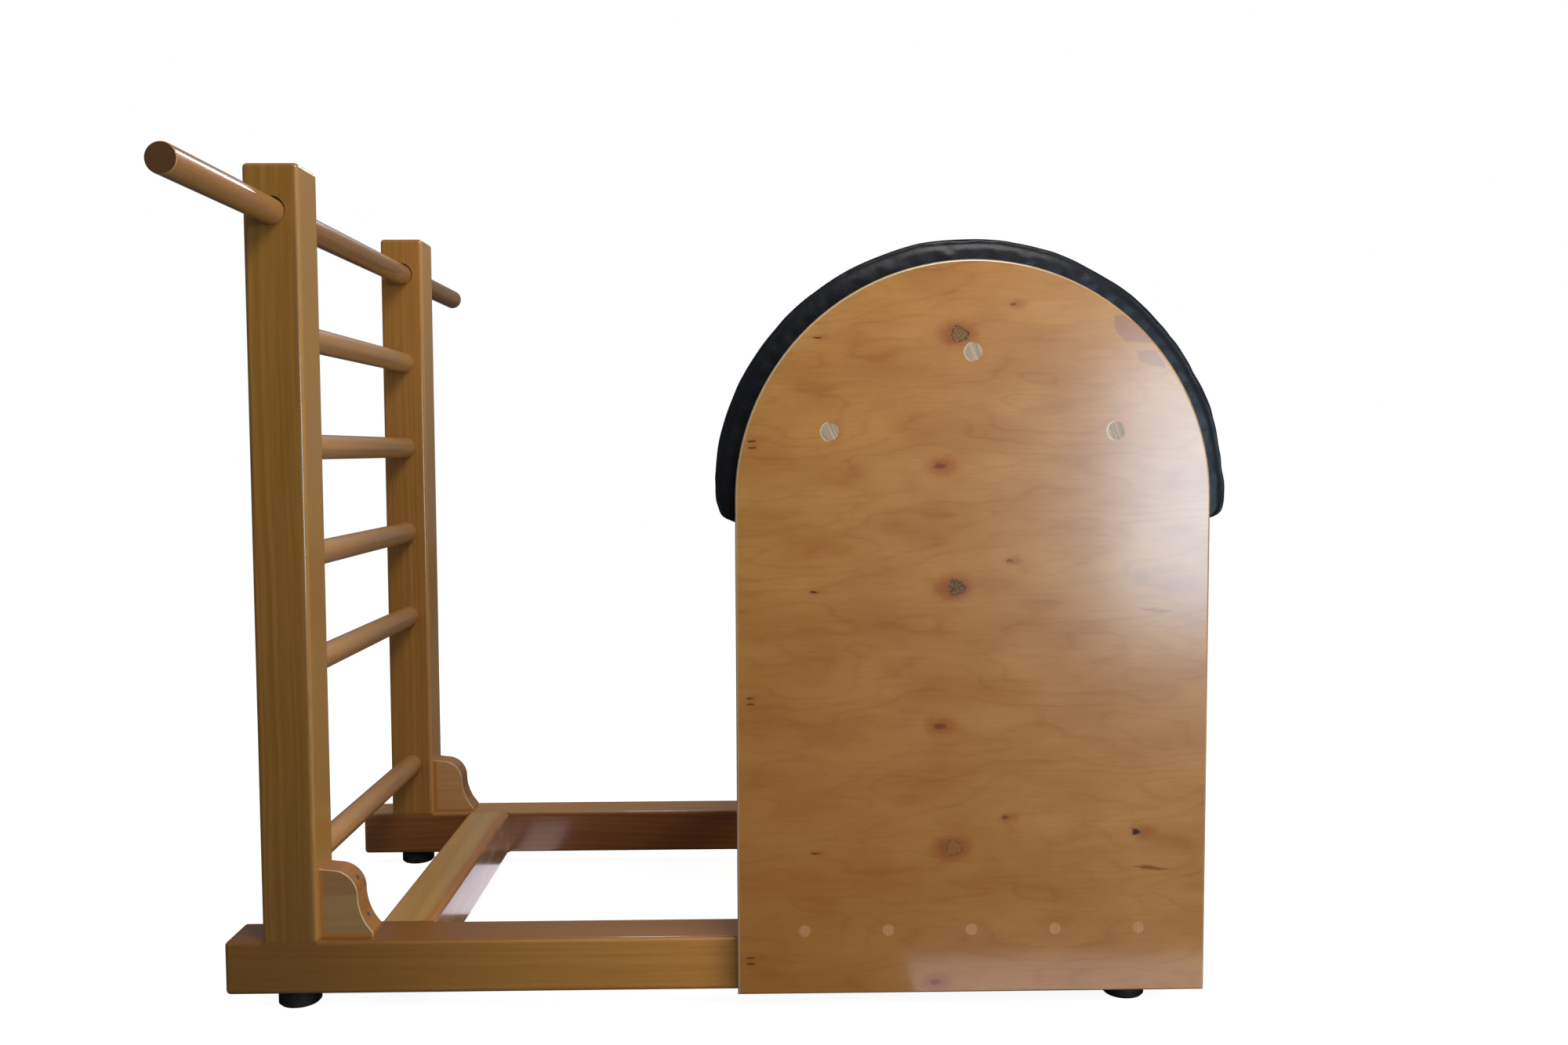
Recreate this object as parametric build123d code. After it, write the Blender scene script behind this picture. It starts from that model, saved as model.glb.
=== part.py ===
from build123d import *
import math
import os

# Exercise ladder barrel: a rung ladder and a padded half-round barrel on one floor frame.
# The barrel is a box whose plywood sides straddle the frame's rails, so it slides along them.
# X runs along the rails from the ladder (-X) to the barrel (+X), Y runs across, Z is up.
# The origin is on the floor, at the middle of the outline. Both sides mirror about Y = 0.

# Driving dimensions, in millimetres

# Floor frame
TIMBER = 70.0  # square section of rails, cross members and posts
ROUND = 6.0  # radius routed along the timbers' free edges
FRAME_HALF = 328.0  # from the middle to a rail's outer face
RAIL_LEFT = -644.0  # ladder end of the rails
RAIL_RIGHT = 610.0  # barrel end of the rails
FOOT_HEIGHT = 22.0
FOOT_D = 54.0
FOOT_CHAMFER = 2.5
FOOT_INSET = 84.0  # from a rail's end to the middle of its foot
CROSS_FRONT = (-463.0, -393.0)
CROSS_REAR = (530.0, 600.0)

# Ladder
POST_X = -560.0
LADDER_TOP = 1080.0
TENON = 42.0  # square tenon on a post's foot
TENON_DEEP = 45.0
RUNG_D = 34.0
RUNG_SEAT = 40.0  # depth of a rung's blind bore in each post
RUNG_END_GAP = 0.5  # left for glue at the bottom of the bore
RUNG_CHAMFER = 1.5
LOW_RUNG = 178.0
TOP_RUNG = 872.0
RUNG_PITCH = 145.0
UPPER_RUNGS = 4
BAR_D = 34.0
BAR_BORE = 36.5
BAR_LENGTH = 1245.0
BAR_LEVEL = 1020.0
BAR_END_ROUND = 1.5

# Curved braces between post and rail
GUSSET_W = 40.0
GUSSET_TOP = 90.0
GUSSET_STEP = 2.0  # the post side stands this much above the crown
GUSSET_ROUND = 2.0
GUSSET_WAIST = 49.0  # reach at the hollow's start
GUSSET_TOE = 68.0  # reach along the rail
CROWN_R = 34.0
HOLLOW_R = 72.0
HOLLOW_TURN = 40.0  # degrees
CROWN_SCREW = (43.4, 71.8, 30.0)  # screw into the post: X and Z from the brace's corner, degrees down
TOE_SCREW = (55.5, 24.0, 45.0)  # screw into the rail

# Barrel box
PLY = 18.0
PANEL_GAP = 1.0  # running gap between a side panel and its rail
PANEL_W = 600.0
BARREL_X = 316.0
ARCH_Z = 657.0  # height of the arch's centre
PANEL_BOTTOM = 23.5
RIM_ROUND = 3.0
GLIDE_GAP = 0.3  # between a runner and the rail it slides on
RUNNER_H = 27.4
RUNNER_INSET = 10.0
TIE_W = 90.0
TIE_INSET = 24.0
TIE_T = 18.0
RUNNER_LEDGE = 4.0  # width of rail left free inside a runner
RUNNER_ROUND = 3.0
TIE_ROUND = 2.0
STRETCHER = 50.0
STRETCHER_ROUND = 3.0
STRETCHER_SPOTS = ((-180.0, 86.0), (0.0, 185.0), (180.0, 86.0))  # from the arch's centre, X and Z

# Curved top
DECK_R = 288.0
DECK_T = 9.0
TAIL = 30.0  # straight stretch below the arch's centre
LEDGER_T = 22.0
LEDGER_H = 30.0
PAD_R = 328.0
PAD_GAP = 3.0  # between the pad's end and a side panel
PAD_SOFT_EDGE = 12.0
PAD_TOE_R = 24.0

# Fasteners and plugs
GLUE = 0.05  # radial gap of a glued or driven fit
DOWEL_D = 12.0
DOWEL_L = 60.0
DOWEL_SPREAD = 32.0
PLUG_D = 15.0
PLUG_L = 6.0
PLUG_PITCH = 107.0
PLUG_COUNT = 5
BIG_PLUG_D = 22.0
BIG_PLUG_L = 7.0
SCREW_D = 5.0
SCREW_HEAD_D = 9.6
SCREW_HEAD_H = 3.0
SCREW_LAND = 0.5  # straight rim of a countersunk head
SCREW_TIP = 1.2  # length of a screw's point, in shank diameters
PANEL_SCREW_L = 50.0
TIE_SCREW_L = 40.0
BRACE_SCREW_L = 60.0
BRACE_SCREW_D = 4.5
BRACE_HEAD_D = 8.0
BRACE_HEAD_H = 2.6
BRACE_BORE_L = 12.0  # counterbore that opens a brace's screw hole to its curved edge
LAG_D = 8.0
LAG_L = 80.0
LAG_HEAD_AF = 13.0
LAG_HEAD_H = 5.3
LAG_WASHER_D = 20.0
LAG_WASHER_T = 1.6
FOOT_SCREW_D = 6.0
FOOT_SCREW_L = 35.0
FOOT_RECESS_D = 18.0
FOOT_RECESS_DEEP = 9.0
FOOT_WASHER_D = 16.0
FOOT_WASHER_T = 1.5
FOOT_HEAD_D = 11.0
FOOT_HEAD_H = 4.0
FOOT_HEAD_CHAMFER = 1.2

# Levels and faces that follow from them
RAIL_TOP = FOOT_HEIGHT + TIMBER
RAIL_IN = FRAME_HALF - TIMBER
RAIL_MID = FRAME_HALF - TIMBER / 2
POST_FACE = POST_X + TIMBER / 2  # the side towards the barrel
PANEL_IN = FRAME_HALF + PANEL_GAP
PANEL_OUT = PANEL_IN + PLY
PANEL_R = PANEL_W / 2
RUNNER_BOTTOM = RAIL_TOP + GLIDE_GAP
RUNNER_TOP = RUNNER_BOTTOM + RUNNER_H
RUNNER_MID = RUNNER_BOTTOM + RUNNER_H / 2
RUNNER_IN = RAIL_IN + RUNNER_LEDGE
TIE_XS = (
    BARREL_X - PANEL_R + TIE_INSET + TIE_W / 2,
    BARREL_X + PANEL_R - TIE_INSET - TIE_W / 2,
)
TIE_SCREW_Y = (RUNNER_IN + PANEL_IN) / 2
FOOT_SCREW_TIP = FOOT_RECESS_DEEP - FOOT_WASHER_T + FOOT_SCREW_L
FOOT_XS = (RAIL_LEFT + FOOT_INSET, RAIL_RIGHT - FOOT_INSET)
RUNG_LEVELS = [LOW_RUNG] + [TOP_RUNG - RUNG_PITCH * (UPPER_RUNGS - 1 - k) for k in range(UPPER_RUNGS)]
# The bar lies on the bottom of its loose bores.
BAR_BORE_Z = BAR_LEVEL + (BAR_BORE - BAR_D) / 2 - GLUE

UP = (0, 0, 1)
DOWN = (0, 0, -1)
ACROSS = (0, 1, 0)
INWARD = (0, -1, 0)  # from the far side's outer face towards the middle


# Shared shapes


def block(x, y, z):
    """A square-edged block between the low and high value of each axis."""
    middle = Location(((x[0] + x[1]) / 2, (y[0] + y[1]) / 2, (z[0] + z[1]) / 2))
    return middle * Box(x[1] - x[0], y[1] - y[0], z[1] - z[0])


def rod(start, direction, diameter, length):
    """A round rod that starts at a point and runs along a direction."""
    base = Plane(origin=start, z_dir=direction)
    return extrude(base * Circle(diameter / 2), length)


def mirrored(shape):
    """The same piece on the near side of the frame."""
    return mirror(shape, about=Plane.XZ)


def group(shapes):
    """Separate solids that share one node."""
    return Compound(children=list(shapes))


def countersunk(start, direction, shank_d, head_d, head_h, length):
    """A countersunk screw: flat head at the start, cone, shank and pointed tip."""
    tip = shank_d * SCREW_TIP
    half = [
        (0, 0),
        (head_d / 2, 0),
        (head_d / 2, SCREW_LAND),
        (shank_d / 2, head_h),
        (shank_d / 2, length - tip),
        (0, length),
    ]
    profile = Plane.XZ * make_face(Polyline(*half, close=True))
    screw = revolve(profile, Axis.Z)
    return Plane(origin=start, z_dir=direction) * screw


def countersunk_room(start, direction, shank_d, head_d, head_h, length):
    """The hole that a countersunk screw sits in, a glue gap larger all round."""
    gap = 2 * GLUE
    return countersunk(start, direction, shank_d + gap, head_d + gap, head_h, length + 1)


# Floor frame


def rail():
    """Far rail: edges routed round, but left square where a post or cross member seats."""
    z = (FOOT_HEIGHT, RAIL_TOP)
    bare = block((RAIL_LEFT, RAIL_RIGHT), (RAIL_IN, FRAME_HALF), z)
    body = fillet(bare.edges(), ROUND)
    post_seat = block(
        (POST_X - TIMBER / 2, POST_X + TIMBER / 2), (RAIL_IN, FRAME_HALF), (RAIL_TOP - 2 * ROUND, RAIL_TOP)
    )
    body += post_seat
    for span in (CROSS_FRONT, CROSS_REAR):
        body += block(span, (RAIL_IN, RAIL_IN + 2 * ROUND), z)
    room = TENON / 2 + GLUE
    body -= block(
        (POST_X - room, POST_X + room),
        (RAIL_MID - room, RAIL_MID + room),
        (RAIL_TOP - TENON_DEEP - 1, RAIL_TOP + 1),
    )
    for x, z_dowel in dowel_spots():
        body -= rod((x, RAIL_IN - 1, z_dowel), ACROSS, DOWEL_D + 2 * GLUE, DOWEL_L / 2 + 2)
    for x in FOOT_XS:
        body -= rod((x, RAIL_MID, 0), UP, FOOT_SCREW_D + 2 * GLUE, FOOT_SCREW_TIP + 1)
    for start, direction in brace_screw_axes():
        body -= brace_screw_room(start, direction)
    return body


def dowel_spots():
    """X and Z of the dowels that hold the cross members to one rail."""
    middle = FOOT_HEIGHT + TIMBER / 2
    spots = []
    for span in (CROSS_FRONT, CROSS_REAR):
        centre = (span[0] + span[1]) / 2
        spots += [(centre, middle - DOWEL_SPREAD / 2), (centre, middle + DOWEL_SPREAD / 2)]
    return spots


def cross_member(span):
    """A timber between the rails, flush with them above and below."""
    bare = block(span, (-RAIL_IN, RAIL_IN), (FOOT_HEIGHT, RAIL_TOP))
    body = fillet(bare.edges().filter_by(Axis.Y), ROUND)
    centre = (span[0] + span[1]) / 2
    for x, z in dowel_spots():
        if x == centre:
            hole = rod((x, RAIL_IN + 1, z), INWARD, DOWEL_D + 2 * GLUE, DOWEL_L / 2 + 2)
            body -= hole
            body -= mirrored(hole)
    return body


def frame_dowels():
    """Beech dowels, half in a rail and half in a cross member."""
    far = [rod((x, RAIL_IN - DOWEL_L / 2, z), ACROSS, DOWEL_D, DOWEL_L) for x, z in dowel_spots()]
    return group(far + [mirrored(dowel) for dowel in far])


def foot(x):
    """Far rubber foot: a round buffer with a recess below for its screw."""
    body = rod((x, RAIL_MID, 0), UP, FOOT_D, FOOT_HEIGHT)
    body = chamfer(body.edges().sort_by(Axis.Z)[0], FOOT_CHAMFER)
    body -= rod((x, RAIL_MID, -1), UP, FOOT_RECESS_D, FOOT_RECESS_DEEP + 1)
    body -= rod((x, RAIL_MID, 0), UP, FOOT_SCREW_D + 2 * GLUE, FOOT_HEIGHT + 1)
    return body


def foot_screw(x):
    """Pan-head screw and washer that hold a far foot from below."""
    seat = FOOT_RECESS_DEEP
    washer = rod((x, RAIL_MID, seat - FOOT_WASHER_T), UP, FOOT_WASHER_D, FOOT_WASHER_T)
    head = rod((x, RAIL_MID, seat - FOOT_WASHER_T - FOOT_HEAD_H), UP, FOOT_HEAD_D, FOOT_HEAD_H)
    head = chamfer(head.edges().sort_by(Axis.Z)[0], FOOT_HEAD_CHAMFER)
    shank = rod((x, RAIL_MID, seat - FOOT_WASHER_T), UP, FOOT_SCREW_D, FOOT_SCREW_L)
    return washer + head + shank


def foot_screws():
    far = [foot_screw(x) for x in FOOT_XS]
    return group(far + [mirrored(screw) for screw in far])


# Ladder


def post():
    """Far post: round-edged, tenoned into the rail, bored for rungs and top bar."""
    bare = block(
        (POST_X - TIMBER / 2, POST_X + TIMBER / 2), (RAIL_IN, FRAME_HALF), (RAIL_TOP, LADDER_TOP)
    )
    free_edges = bare.edges().filter_by(Axis.Z) + bare.faces().sort_by(Axis.Z)[-1].edges()
    body = fillet(free_edges, ROUND)
    body += block(
        (POST_X - TENON / 2, POST_X + TENON / 2),
        (RAIL_MID - TENON / 2, RAIL_MID + TENON / 2),
        (RAIL_TOP - TENON_DEEP, RAIL_TOP + 1),
    )
    for z in RUNG_LEVELS:
        body -= rod((POST_X, RAIL_IN - 1, z), ACROSS, RUNG_D + 2 * GLUE, RUNG_SEAT + 1)
    body -= rod((POST_X, RAIL_IN - 1, BAR_BORE_Z), ACROSS, BAR_BORE, TIMBER + 2)
    for start, direction in brace_screw_axes():
        body -= brace_screw_room(start, direction)
    return body


def rung(z):
    """A dowel glued into blind bores in both posts."""
    half = RAIL_IN + RUNG_SEAT - RUNG_END_GAP
    body = rod((POST_X, -half, z), ACROSS, RUNG_D, 2 * half)
    return chamfer(body.edges().filter_by(GeomType.CIRCLE), RUNG_CHAMFER)


def top_bar():
    """The long loose bar: it passes through both posts and stands out as two handles."""
    body = rod((POST_X, -BAR_LENGTH / 2, BAR_LEVEL), ACROSS, BAR_D, BAR_LENGTH)
    return fillet(body.edges().filter_by(GeomType.CIRCLE), BAR_END_ROUND)


# Curved braces


def brace_outline():
    """Face of the brace in the XZ plane: a round crown over a hollow that runs to a toe."""
    top = GUSSET_TOP - GUSSET_STEP
    shoulder = top - CROWN_R
    turn = math.radians(HOLLOW_TURN)
    hollow_end = (
        GUSSET_WAIST + HOLLOW_R * (1 - math.cos(turn)),
        shoulder - HOLLOW_R * math.sin(turn),
    )
    crown_start = (GUSSET_WAIST - CROWN_R, top)
    crown = CenterArc((GUSSET_WAIST - CROWN_R, shoulder), CROWN_R, 0, 90)
    hollow = CenterArc((GUSSET_WAIST + HOLLOW_R, shoulder), HOLLOW_R, 180, HOLLOW_TURN)
    toe_top = (GUSSET_TOE, hollow_end[1] - (GUSSET_TOE - hollow_end[0]) * math.cos(turn) / math.sin(turn))
    sides = Polyline(hollow_end, toe_top, (GUSSET_TOE, 0), (0, 0), (0, GUSSET_TOP), crown_start)
    return make_face(Curve() + [crown, hollow, sides])


def gusset():
    """Far brace: the outline given its thickness, its free edges softened."""
    seat = Plane(origin=(POST_FACE, RAIL_MID, RAIL_TOP), x_dir=(1, 0, 0), z_dir=(0, -1, 0))
    body = extrude(seat * brace_outline(), GUSSET_W / 2, both=True)
    free_edges = []
    for edge in body.edges():
        middle = edge.position_at(0.5)
        on_side = abs(abs(middle.Y - RAIL_MID) - GUSSET_W / 2) < 0.01
        seated = middle.X < POST_FACE + 0.1 or middle.Z < RAIL_TOP + 0.1
        if on_side and not seated:
            free_edges.append(edge)
    body = fillet(free_edges, GUSSET_ROUND)
    for start, direction in brace_screw_axes():
        body -= brace_screw_room(start, direction)
    return body


def brace_screw_axes():
    """Start and direction of a far brace's two screws: one into the post, one into the rail."""
    axes = []
    for dx, dz, degrees_down in (CROWN_SCREW, TOE_SCREW):
        slope = math.radians(degrees_down)
        head = (POST_FACE + dx, RAIL_MID, RAIL_TOP + dz)
        axes.append((head, (-math.cos(slope), 0, -math.sin(slope))))
    return axes


def brace_screw(start, direction):
    return countersunk(start, direction, BRACE_SCREW_D, BRACE_HEAD_D, BRACE_HEAD_H, BRACE_SCREW_L)


def brace_screw_room(start, direction):
    """Screw hole with a counterbore that opens it to the brace's curved edge."""
    hole = countersunk_room(
        start, direction, BRACE_SCREW_D, BRACE_HEAD_D, BRACE_HEAD_H, BRACE_SCREW_L
    )
    outward = (-direction[0], -direction[1], -direction[2])
    return hole + rod(start, outward, BRACE_HEAD_D + 2 * GLUE, BRACE_BORE_L)


def gusset_screws():
    far = [brace_screw(start, direction) for start, direction in brace_screw_axes()]
    return group(far + [mirrored(screw) for screw in far])


# Barrel box


def arch_outline(radius, bottom):
    """A door shape round the arch's centre: straight sides under a half circle."""
    low = bottom - ARCH_Z
    arch = CenterArc((0, 0), radius, 0, 180)
    sides = Polyline((-radius, 0), (-radius, low), (radius, low), (radius, 0))
    return make_face(Curve() + [arch, sides])


def arch_plane(y):
    """Plane across the rails at one Y, centred on the arch, facing the near side."""
    return Plane(origin=(BARREL_X, y, ARCH_Z), x_dir=(1, 0, 0), z_dir=(0, -1, 0))


def arched_strip(outer, inner):
    """Section of a half-round strip with straight tails: the outer door shape less the inner."""
    low = ARCH_Z - TAIL
    return arch_outline(outer, low) - arch_outline(inner, low - 1)


def plug_spots():
    """X and Z of the small plugs in a row above the runner's middle."""
    first = -PLUG_PITCH * (PLUG_COUNT - 1) / 2
    return [(BARREL_X + first + PLUG_PITCH * k, RUNNER_MID) for k in range(PLUG_COUNT)]


def bolt_spots():
    """X and Z of the stretcher bolts."""
    return [(BARREL_X + dx, ARCH_Z + dz) for dx, dz in STRETCHER_SPOTS]


def side_panel():
    """Far side of the box: arched plywood, its outer rim rounded, counterbored for plugs."""
    body = extrude(arch_plane(PANEL_OUT) * arch_outline(PANEL_R, PANEL_BOTTOM), PLY)
    outer_face = body.faces().sort_by(Axis.Y)[-1]
    body = fillet(outer_face.edges(), RIM_ROUND)
    for x, z in plug_spots():
        body -= rod((x, PANEL_OUT + 1, z), INWARD, PLUG_D + 2 * GLUE, PLUG_L + 1)
        body -= panel_screw_room(x, z)
    for x, z in bolt_spots():
        body -= rod((x, PANEL_OUT + 1, z), INWARD, BIG_PLUG_D + 2 * GLUE, bolt_seat_depth() + 1)
        body -= rod((x, PANEL_OUT, z), INWARD, LAG_D + 2 * GLUE, PLY + 1)
    return body


def bolt_seat_depth():
    """How far below the panel's outer face the bolt's washer seats."""
    return BIG_PLUG_L + LAG_HEAD_H + LAG_WASHER_T


def panel_screw(x, z):
    start = (x, PANEL_OUT - PLUG_L, z)
    return countersunk(start, INWARD, SCREW_D, SCREW_HEAD_D, SCREW_HEAD_H, PANEL_SCREW_L)


def panel_screw_room(x, z):
    start = (x, PANEL_OUT - PLUG_L, z)
    return countersunk_room(start, INWARD, SCREW_D, SCREW_HEAD_D, SCREW_HEAD_H, PANEL_SCREW_L)


def panel_screws():
    """Screws through the side panels into the runners, under the small plugs."""
    far = [panel_screw(x, z) for x, z in plug_spots()]
    return group(far + [mirrored(screw) for screw in far])


def panel_plugs():
    """Round wooden plugs, flush with the side panels."""
    far = [rod((x, PANEL_OUT, z), INWARD, PLUG_D, PLUG_L) for x, z in plug_spots()]
    return group(far + [mirrored(plug) for plug in far])


def stretcher(x, z):
    """A bar between the side panels, with soft edges and a bolt hole in each end."""
    half = STRETCHER / 2
    bare = block((x - half, x + half), (-PANEL_IN, PANEL_IN), (z - half, z + half))
    body = fillet(bare.edges().filter_by(Axis.Y), STRETCHER_ROUND)
    hole = rod((x, PANEL_IN + 1, z), INWARD, LAG_D + 2 * GLUE, LAG_L)
    return body - hole - mirrored(hole)


def stretcher_bolt(x, z):
    """Hexagon lag bolt and washer in the far panel's counterbore."""
    seat = PANEL_OUT - bolt_seat_depth()
    washer = rod((x, seat, z), ACROSS, LAG_WASHER_D, LAG_WASHER_T)
    head_plane = Plane(origin=(x, seat + LAG_WASHER_T, z), z_dir=ACROSS)
    head = extrude(head_plane * RegularPolygon(LAG_HEAD_AF / 2, 6, major_radius=False), LAG_HEAD_H)
    shank = rod((x, seat + LAG_WASHER_T, z), INWARD, LAG_D, LAG_L)
    return washer + head + shank


def stretcher_bolts():
    far = [stretcher_bolt(x, z) for x, z in bolt_spots()]
    return group(far + [mirrored(bolt) for bolt in far])


def stretcher_plugs():
    """Larger plugs over the stretcher bolts, end grain outwards."""
    far = [rod((x, PANEL_OUT, z), INWARD, BIG_PLUG_D, BIG_PLUG_L) for x, z in bolt_spots()]
    return group(far + [mirrored(plug) for plug in far])


def runner():
    """Far runner: the board that lies on the rail and carries the box."""
    x = (BARREL_X - PANEL_R + RUNNER_INSET, BARREL_X + PANEL_R - RUNNER_INSET)
    bare = block(x, (RUNNER_IN, PANEL_IN), (RUNNER_BOTTOM, RUNNER_TOP))
    body = fillet(bare.edges().filter_by(Axis.Y), RUNNER_ROUND)
    for px, pz in plug_spots():
        body -= panel_screw_room(px, pz)
    for start in tie_screw_starts():
        body -= tie_screw_room(start)
    return body


def tie_board(x):
    """A board across both runners that keeps the box square."""
    bare = block((x - TIE_W / 2, x + TIE_W / 2), (-PANEL_IN, PANEL_IN), (RUNNER_TOP, RUNNER_TOP + TIE_T))
    body = fillet(bare.edges().filter_by(Axis.Y), TIE_ROUND)
    for start in tie_screw_starts():
        body -= tie_screw_room(start)
        body -= mirrored(tie_screw_room(start))
    return body


def tie_screw_starts():
    """Head positions of the screws that hold the tie boards to the far runner."""
    top = RUNNER_TOP + TIE_T
    return [(x + dx, TIE_SCREW_Y, top) for x in TIE_XS for dx in (-TIE_W / 4, TIE_W / 4)]


def tie_screw_room(start):
    return countersunk_room(start, DOWN, SCREW_D, SCREW_HEAD_D, SCREW_HEAD_H, TIE_SCREW_L)


def tie_screws():
    far = [
        countersunk(start, DOWN, SCREW_D, SCREW_HEAD_D, SCREW_HEAD_H, TIE_SCREW_L)
        for start in tie_screw_starts()
    ]
    return group(far + [mirrored(screw) for screw in far])


# Curved top


def deck():
    """Bent plywood under the pad, between the side panels."""
    return extrude(arch_plane(PANEL_IN) * arched_strip(DECK_R, DECK_R - DECK_T), 2 * PANEL_IN)


def rim_ledger():
    """Far curved ledger on the side panel that the deck lies on."""
    outer = DECK_R - DECK_T - GLUE
    return extrude(arch_plane(PANEL_IN) * arched_strip(outer, outer - LEDGER_H), LEDGER_T)


def barrel_pad():
    """Foam pad in its cover: a thick half-round strip with turned-in toes and soft rims."""
    half = PANEL_IN - PAD_GAP
    section = arched_strip(PAD_R, DECK_R + 2 * GLUE)
    toes = [corner for corner in section.vertices() if corner.Y < 0 and abs(corner.X) > PAD_R - 1]
    section = fillet(toes, PAD_TOE_R)
    body = extrude(arch_plane(half) * section, 2 * half)
    rims = [edge for edge in body.edges() if on_pad_rim(edge, half)]
    return fillet(rims, PAD_SOFT_EDGE)


def on_pad_rim(edge, half):
    """True for the outer edges of the pad's two end faces."""
    middle = edge.position_at(0.5)
    at_end = abs(abs(middle.Y) - half) < 0.1
    reach = math.hypot(middle.X - BARREL_X, max(middle.Z - ARCH_Z, 0))
    return at_end and reach > DECK_R + PAD_SOFT_EDGE


nodes = {
    "rail_far": rail(),
    "cross_member_front": cross_member(CROSS_FRONT),
    "cross_member_rear": cross_member(CROSS_REAR),
    "frame_dowels": frame_dowels(),
    "foot_far_front": foot(FOOT_XS[0]),
    "foot_far_rear": foot(FOOT_XS[1]),
    "foot_screws": foot_screws(),
    "post_far": post(),
    "top_bar": top_bar(),
    "gusset_far": gusset(),
    "gusset_screws": gusset_screws(),
    "side_panel_far": side_panel(),
    "panel_screws": panel_screws(),
    "panel_plugs": panel_plugs(),
    "stretcher_left": stretcher(*bolt_spots()[0]),
    "stretcher_top": stretcher(*bolt_spots()[1]),
    "stretcher_right": stretcher(*bolt_spots()[2]),
    "stretcher_bolts": stretcher_bolts(),
    "stretcher_plugs": stretcher_plugs(),
    "runner_far": runner(),
    "tie_board_front": tie_board(TIE_XS[0]),
    "tie_board_rear": tie_board(TIE_XS[1]),
    "tie_screws": tie_screws(),
    "deck": deck(),
    "rim_ledger_far": rim_ledger(),
    "barrel_pad": barrel_pad(),
}
for number, level in enumerate(RUNG_LEVELS, start=1):
    nodes[f"rung_{number}"] = rung(level)
for name in [name for name in nodes if "_far" in name]:
    nodes[name.replace("_far", "_near")] = mirrored(nodes[name])

os.makedirs("parts", exist_ok=True)
for name, shape in nodes.items():
    shape.label = name
    export_step(shape, f"parts/{name}.step")
print(len(nodes), "nodes written")
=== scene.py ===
import math

import bmesh
import bpy
import numpy as np
from mathutils import Matrix, Vector


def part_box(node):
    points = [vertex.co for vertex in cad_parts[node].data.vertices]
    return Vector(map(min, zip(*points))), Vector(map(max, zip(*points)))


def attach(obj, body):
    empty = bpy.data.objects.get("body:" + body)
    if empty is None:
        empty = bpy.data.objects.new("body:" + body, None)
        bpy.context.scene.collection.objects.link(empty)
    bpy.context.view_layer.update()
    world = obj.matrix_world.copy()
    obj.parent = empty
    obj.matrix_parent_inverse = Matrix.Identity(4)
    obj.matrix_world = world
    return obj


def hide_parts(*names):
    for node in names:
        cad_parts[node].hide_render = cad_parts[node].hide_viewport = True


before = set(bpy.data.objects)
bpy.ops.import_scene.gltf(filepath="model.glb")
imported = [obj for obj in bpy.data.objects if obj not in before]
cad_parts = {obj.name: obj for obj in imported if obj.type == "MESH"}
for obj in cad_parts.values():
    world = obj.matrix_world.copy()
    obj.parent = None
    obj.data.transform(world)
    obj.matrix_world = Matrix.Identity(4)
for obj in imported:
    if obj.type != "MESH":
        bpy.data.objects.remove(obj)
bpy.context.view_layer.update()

# Everything is in metres, in the frame's own axes: X runs along the rails from the ladder to the
# barrel, Y runs across, Z is up. Sizes of the pieces come from the frame.

panel_low, panel_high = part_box("side_panel_near")
ARCH_X = (panel_low.x + panel_high.x) / 2
ARCH_R = (panel_high.x - panel_low.x) / 2
ARCH_Z = panel_high.z - ARCH_R
DECK_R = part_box("deck")[1].z - ARCH_Z
pad_low, pad_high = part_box("barrel_pad")
PAD_THICK = pad_high.z - ARCH_Z - DECK_R
PAD_HALF = pad_high.y
PAD_TAIL = ARCH_Z - pad_low.z
RAIL_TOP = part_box("rail_near")[1].z
BRACE_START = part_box("gusset_near")[0].x
CROSS_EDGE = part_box("cross_member_front")[1].x

# Colours as linear red, green, blue and alpha

RAIL_PALE = (0.62, 0.31, 0.062, 1)
RAIL_DEEP = (0.38, 0.16, 0.018, 1)
# Painted shade on the near rail's upper face
RAIL_TOP_PAINTED_SHADE = (0.20, 0.062, 0.005, 1)
# The far rail is a darker copy of the wood: painted shade
FAR_RAIL_SHADED_PALE = (0.36, 0.125, 0.021, 1)
FAR_RAIL_SHADED_DEEP = (0.18, 0.050, 0.006, 1)
# Painted light on the far rail's upper face
FAR_RAIL_TOP_PAINTED_LIGHT = (0.55, 0.27, 0.07, 1)
POST_PALE = (0.345, 0.172, 0.026, 1)
POST_DEEP = (0.20, 0.086, 0.007, 1)
# Painted light and reflection on the near post's +X side
POST_FLANK_PAINTED_LIGHT = (0.52, 0.27, 0.065, 1)
# The far post is a lighter copy of the wood: painted light
FAR_POST_LIT_PALE = (0.48, 0.225, 0.037, 1)
FAR_POST_LIT_DEEP = (0.30, 0.12, 0.012, 1)
# Painted light on the far post's +X side
FAR_POST_FLANK_PAINTED_LIGHT = (0.85, 0.44, 0.13, 1)
CROSS_PALE = (0.55, 0.33, 0.115, 1)
CROSS_DEEP = (0.40, 0.22, 0.06, 1)
# Painted reflection on the cross members' +X sides
CROSS_FLANK_PAINTED_REFLECTION = (0.98, 0.62, 0.46, 1)
DOWEL_PALE = (0.62, 0.325, 0.125, 1)
DOWEL_DEEP = (0.43, 0.200, 0.056, 1)
BAR_PALE = (0.45, 0.215, 0.066, 1)
BAR_DEEP = (0.30, 0.125, 0.028, 1)
BRACE_PALE = (0.38, 0.245, 0.105, 1)
BRACE_DEEP = (0.28, 0.160, 0.055, 1)
BRACE_UPPER = (0.28, 0.125, 0.05, 1)
BRACE_SAWN = (0.40, 0.155, 0.032, 1)
BRACE_WORN = (0.66, 0.50, 0.30, 1)
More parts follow.
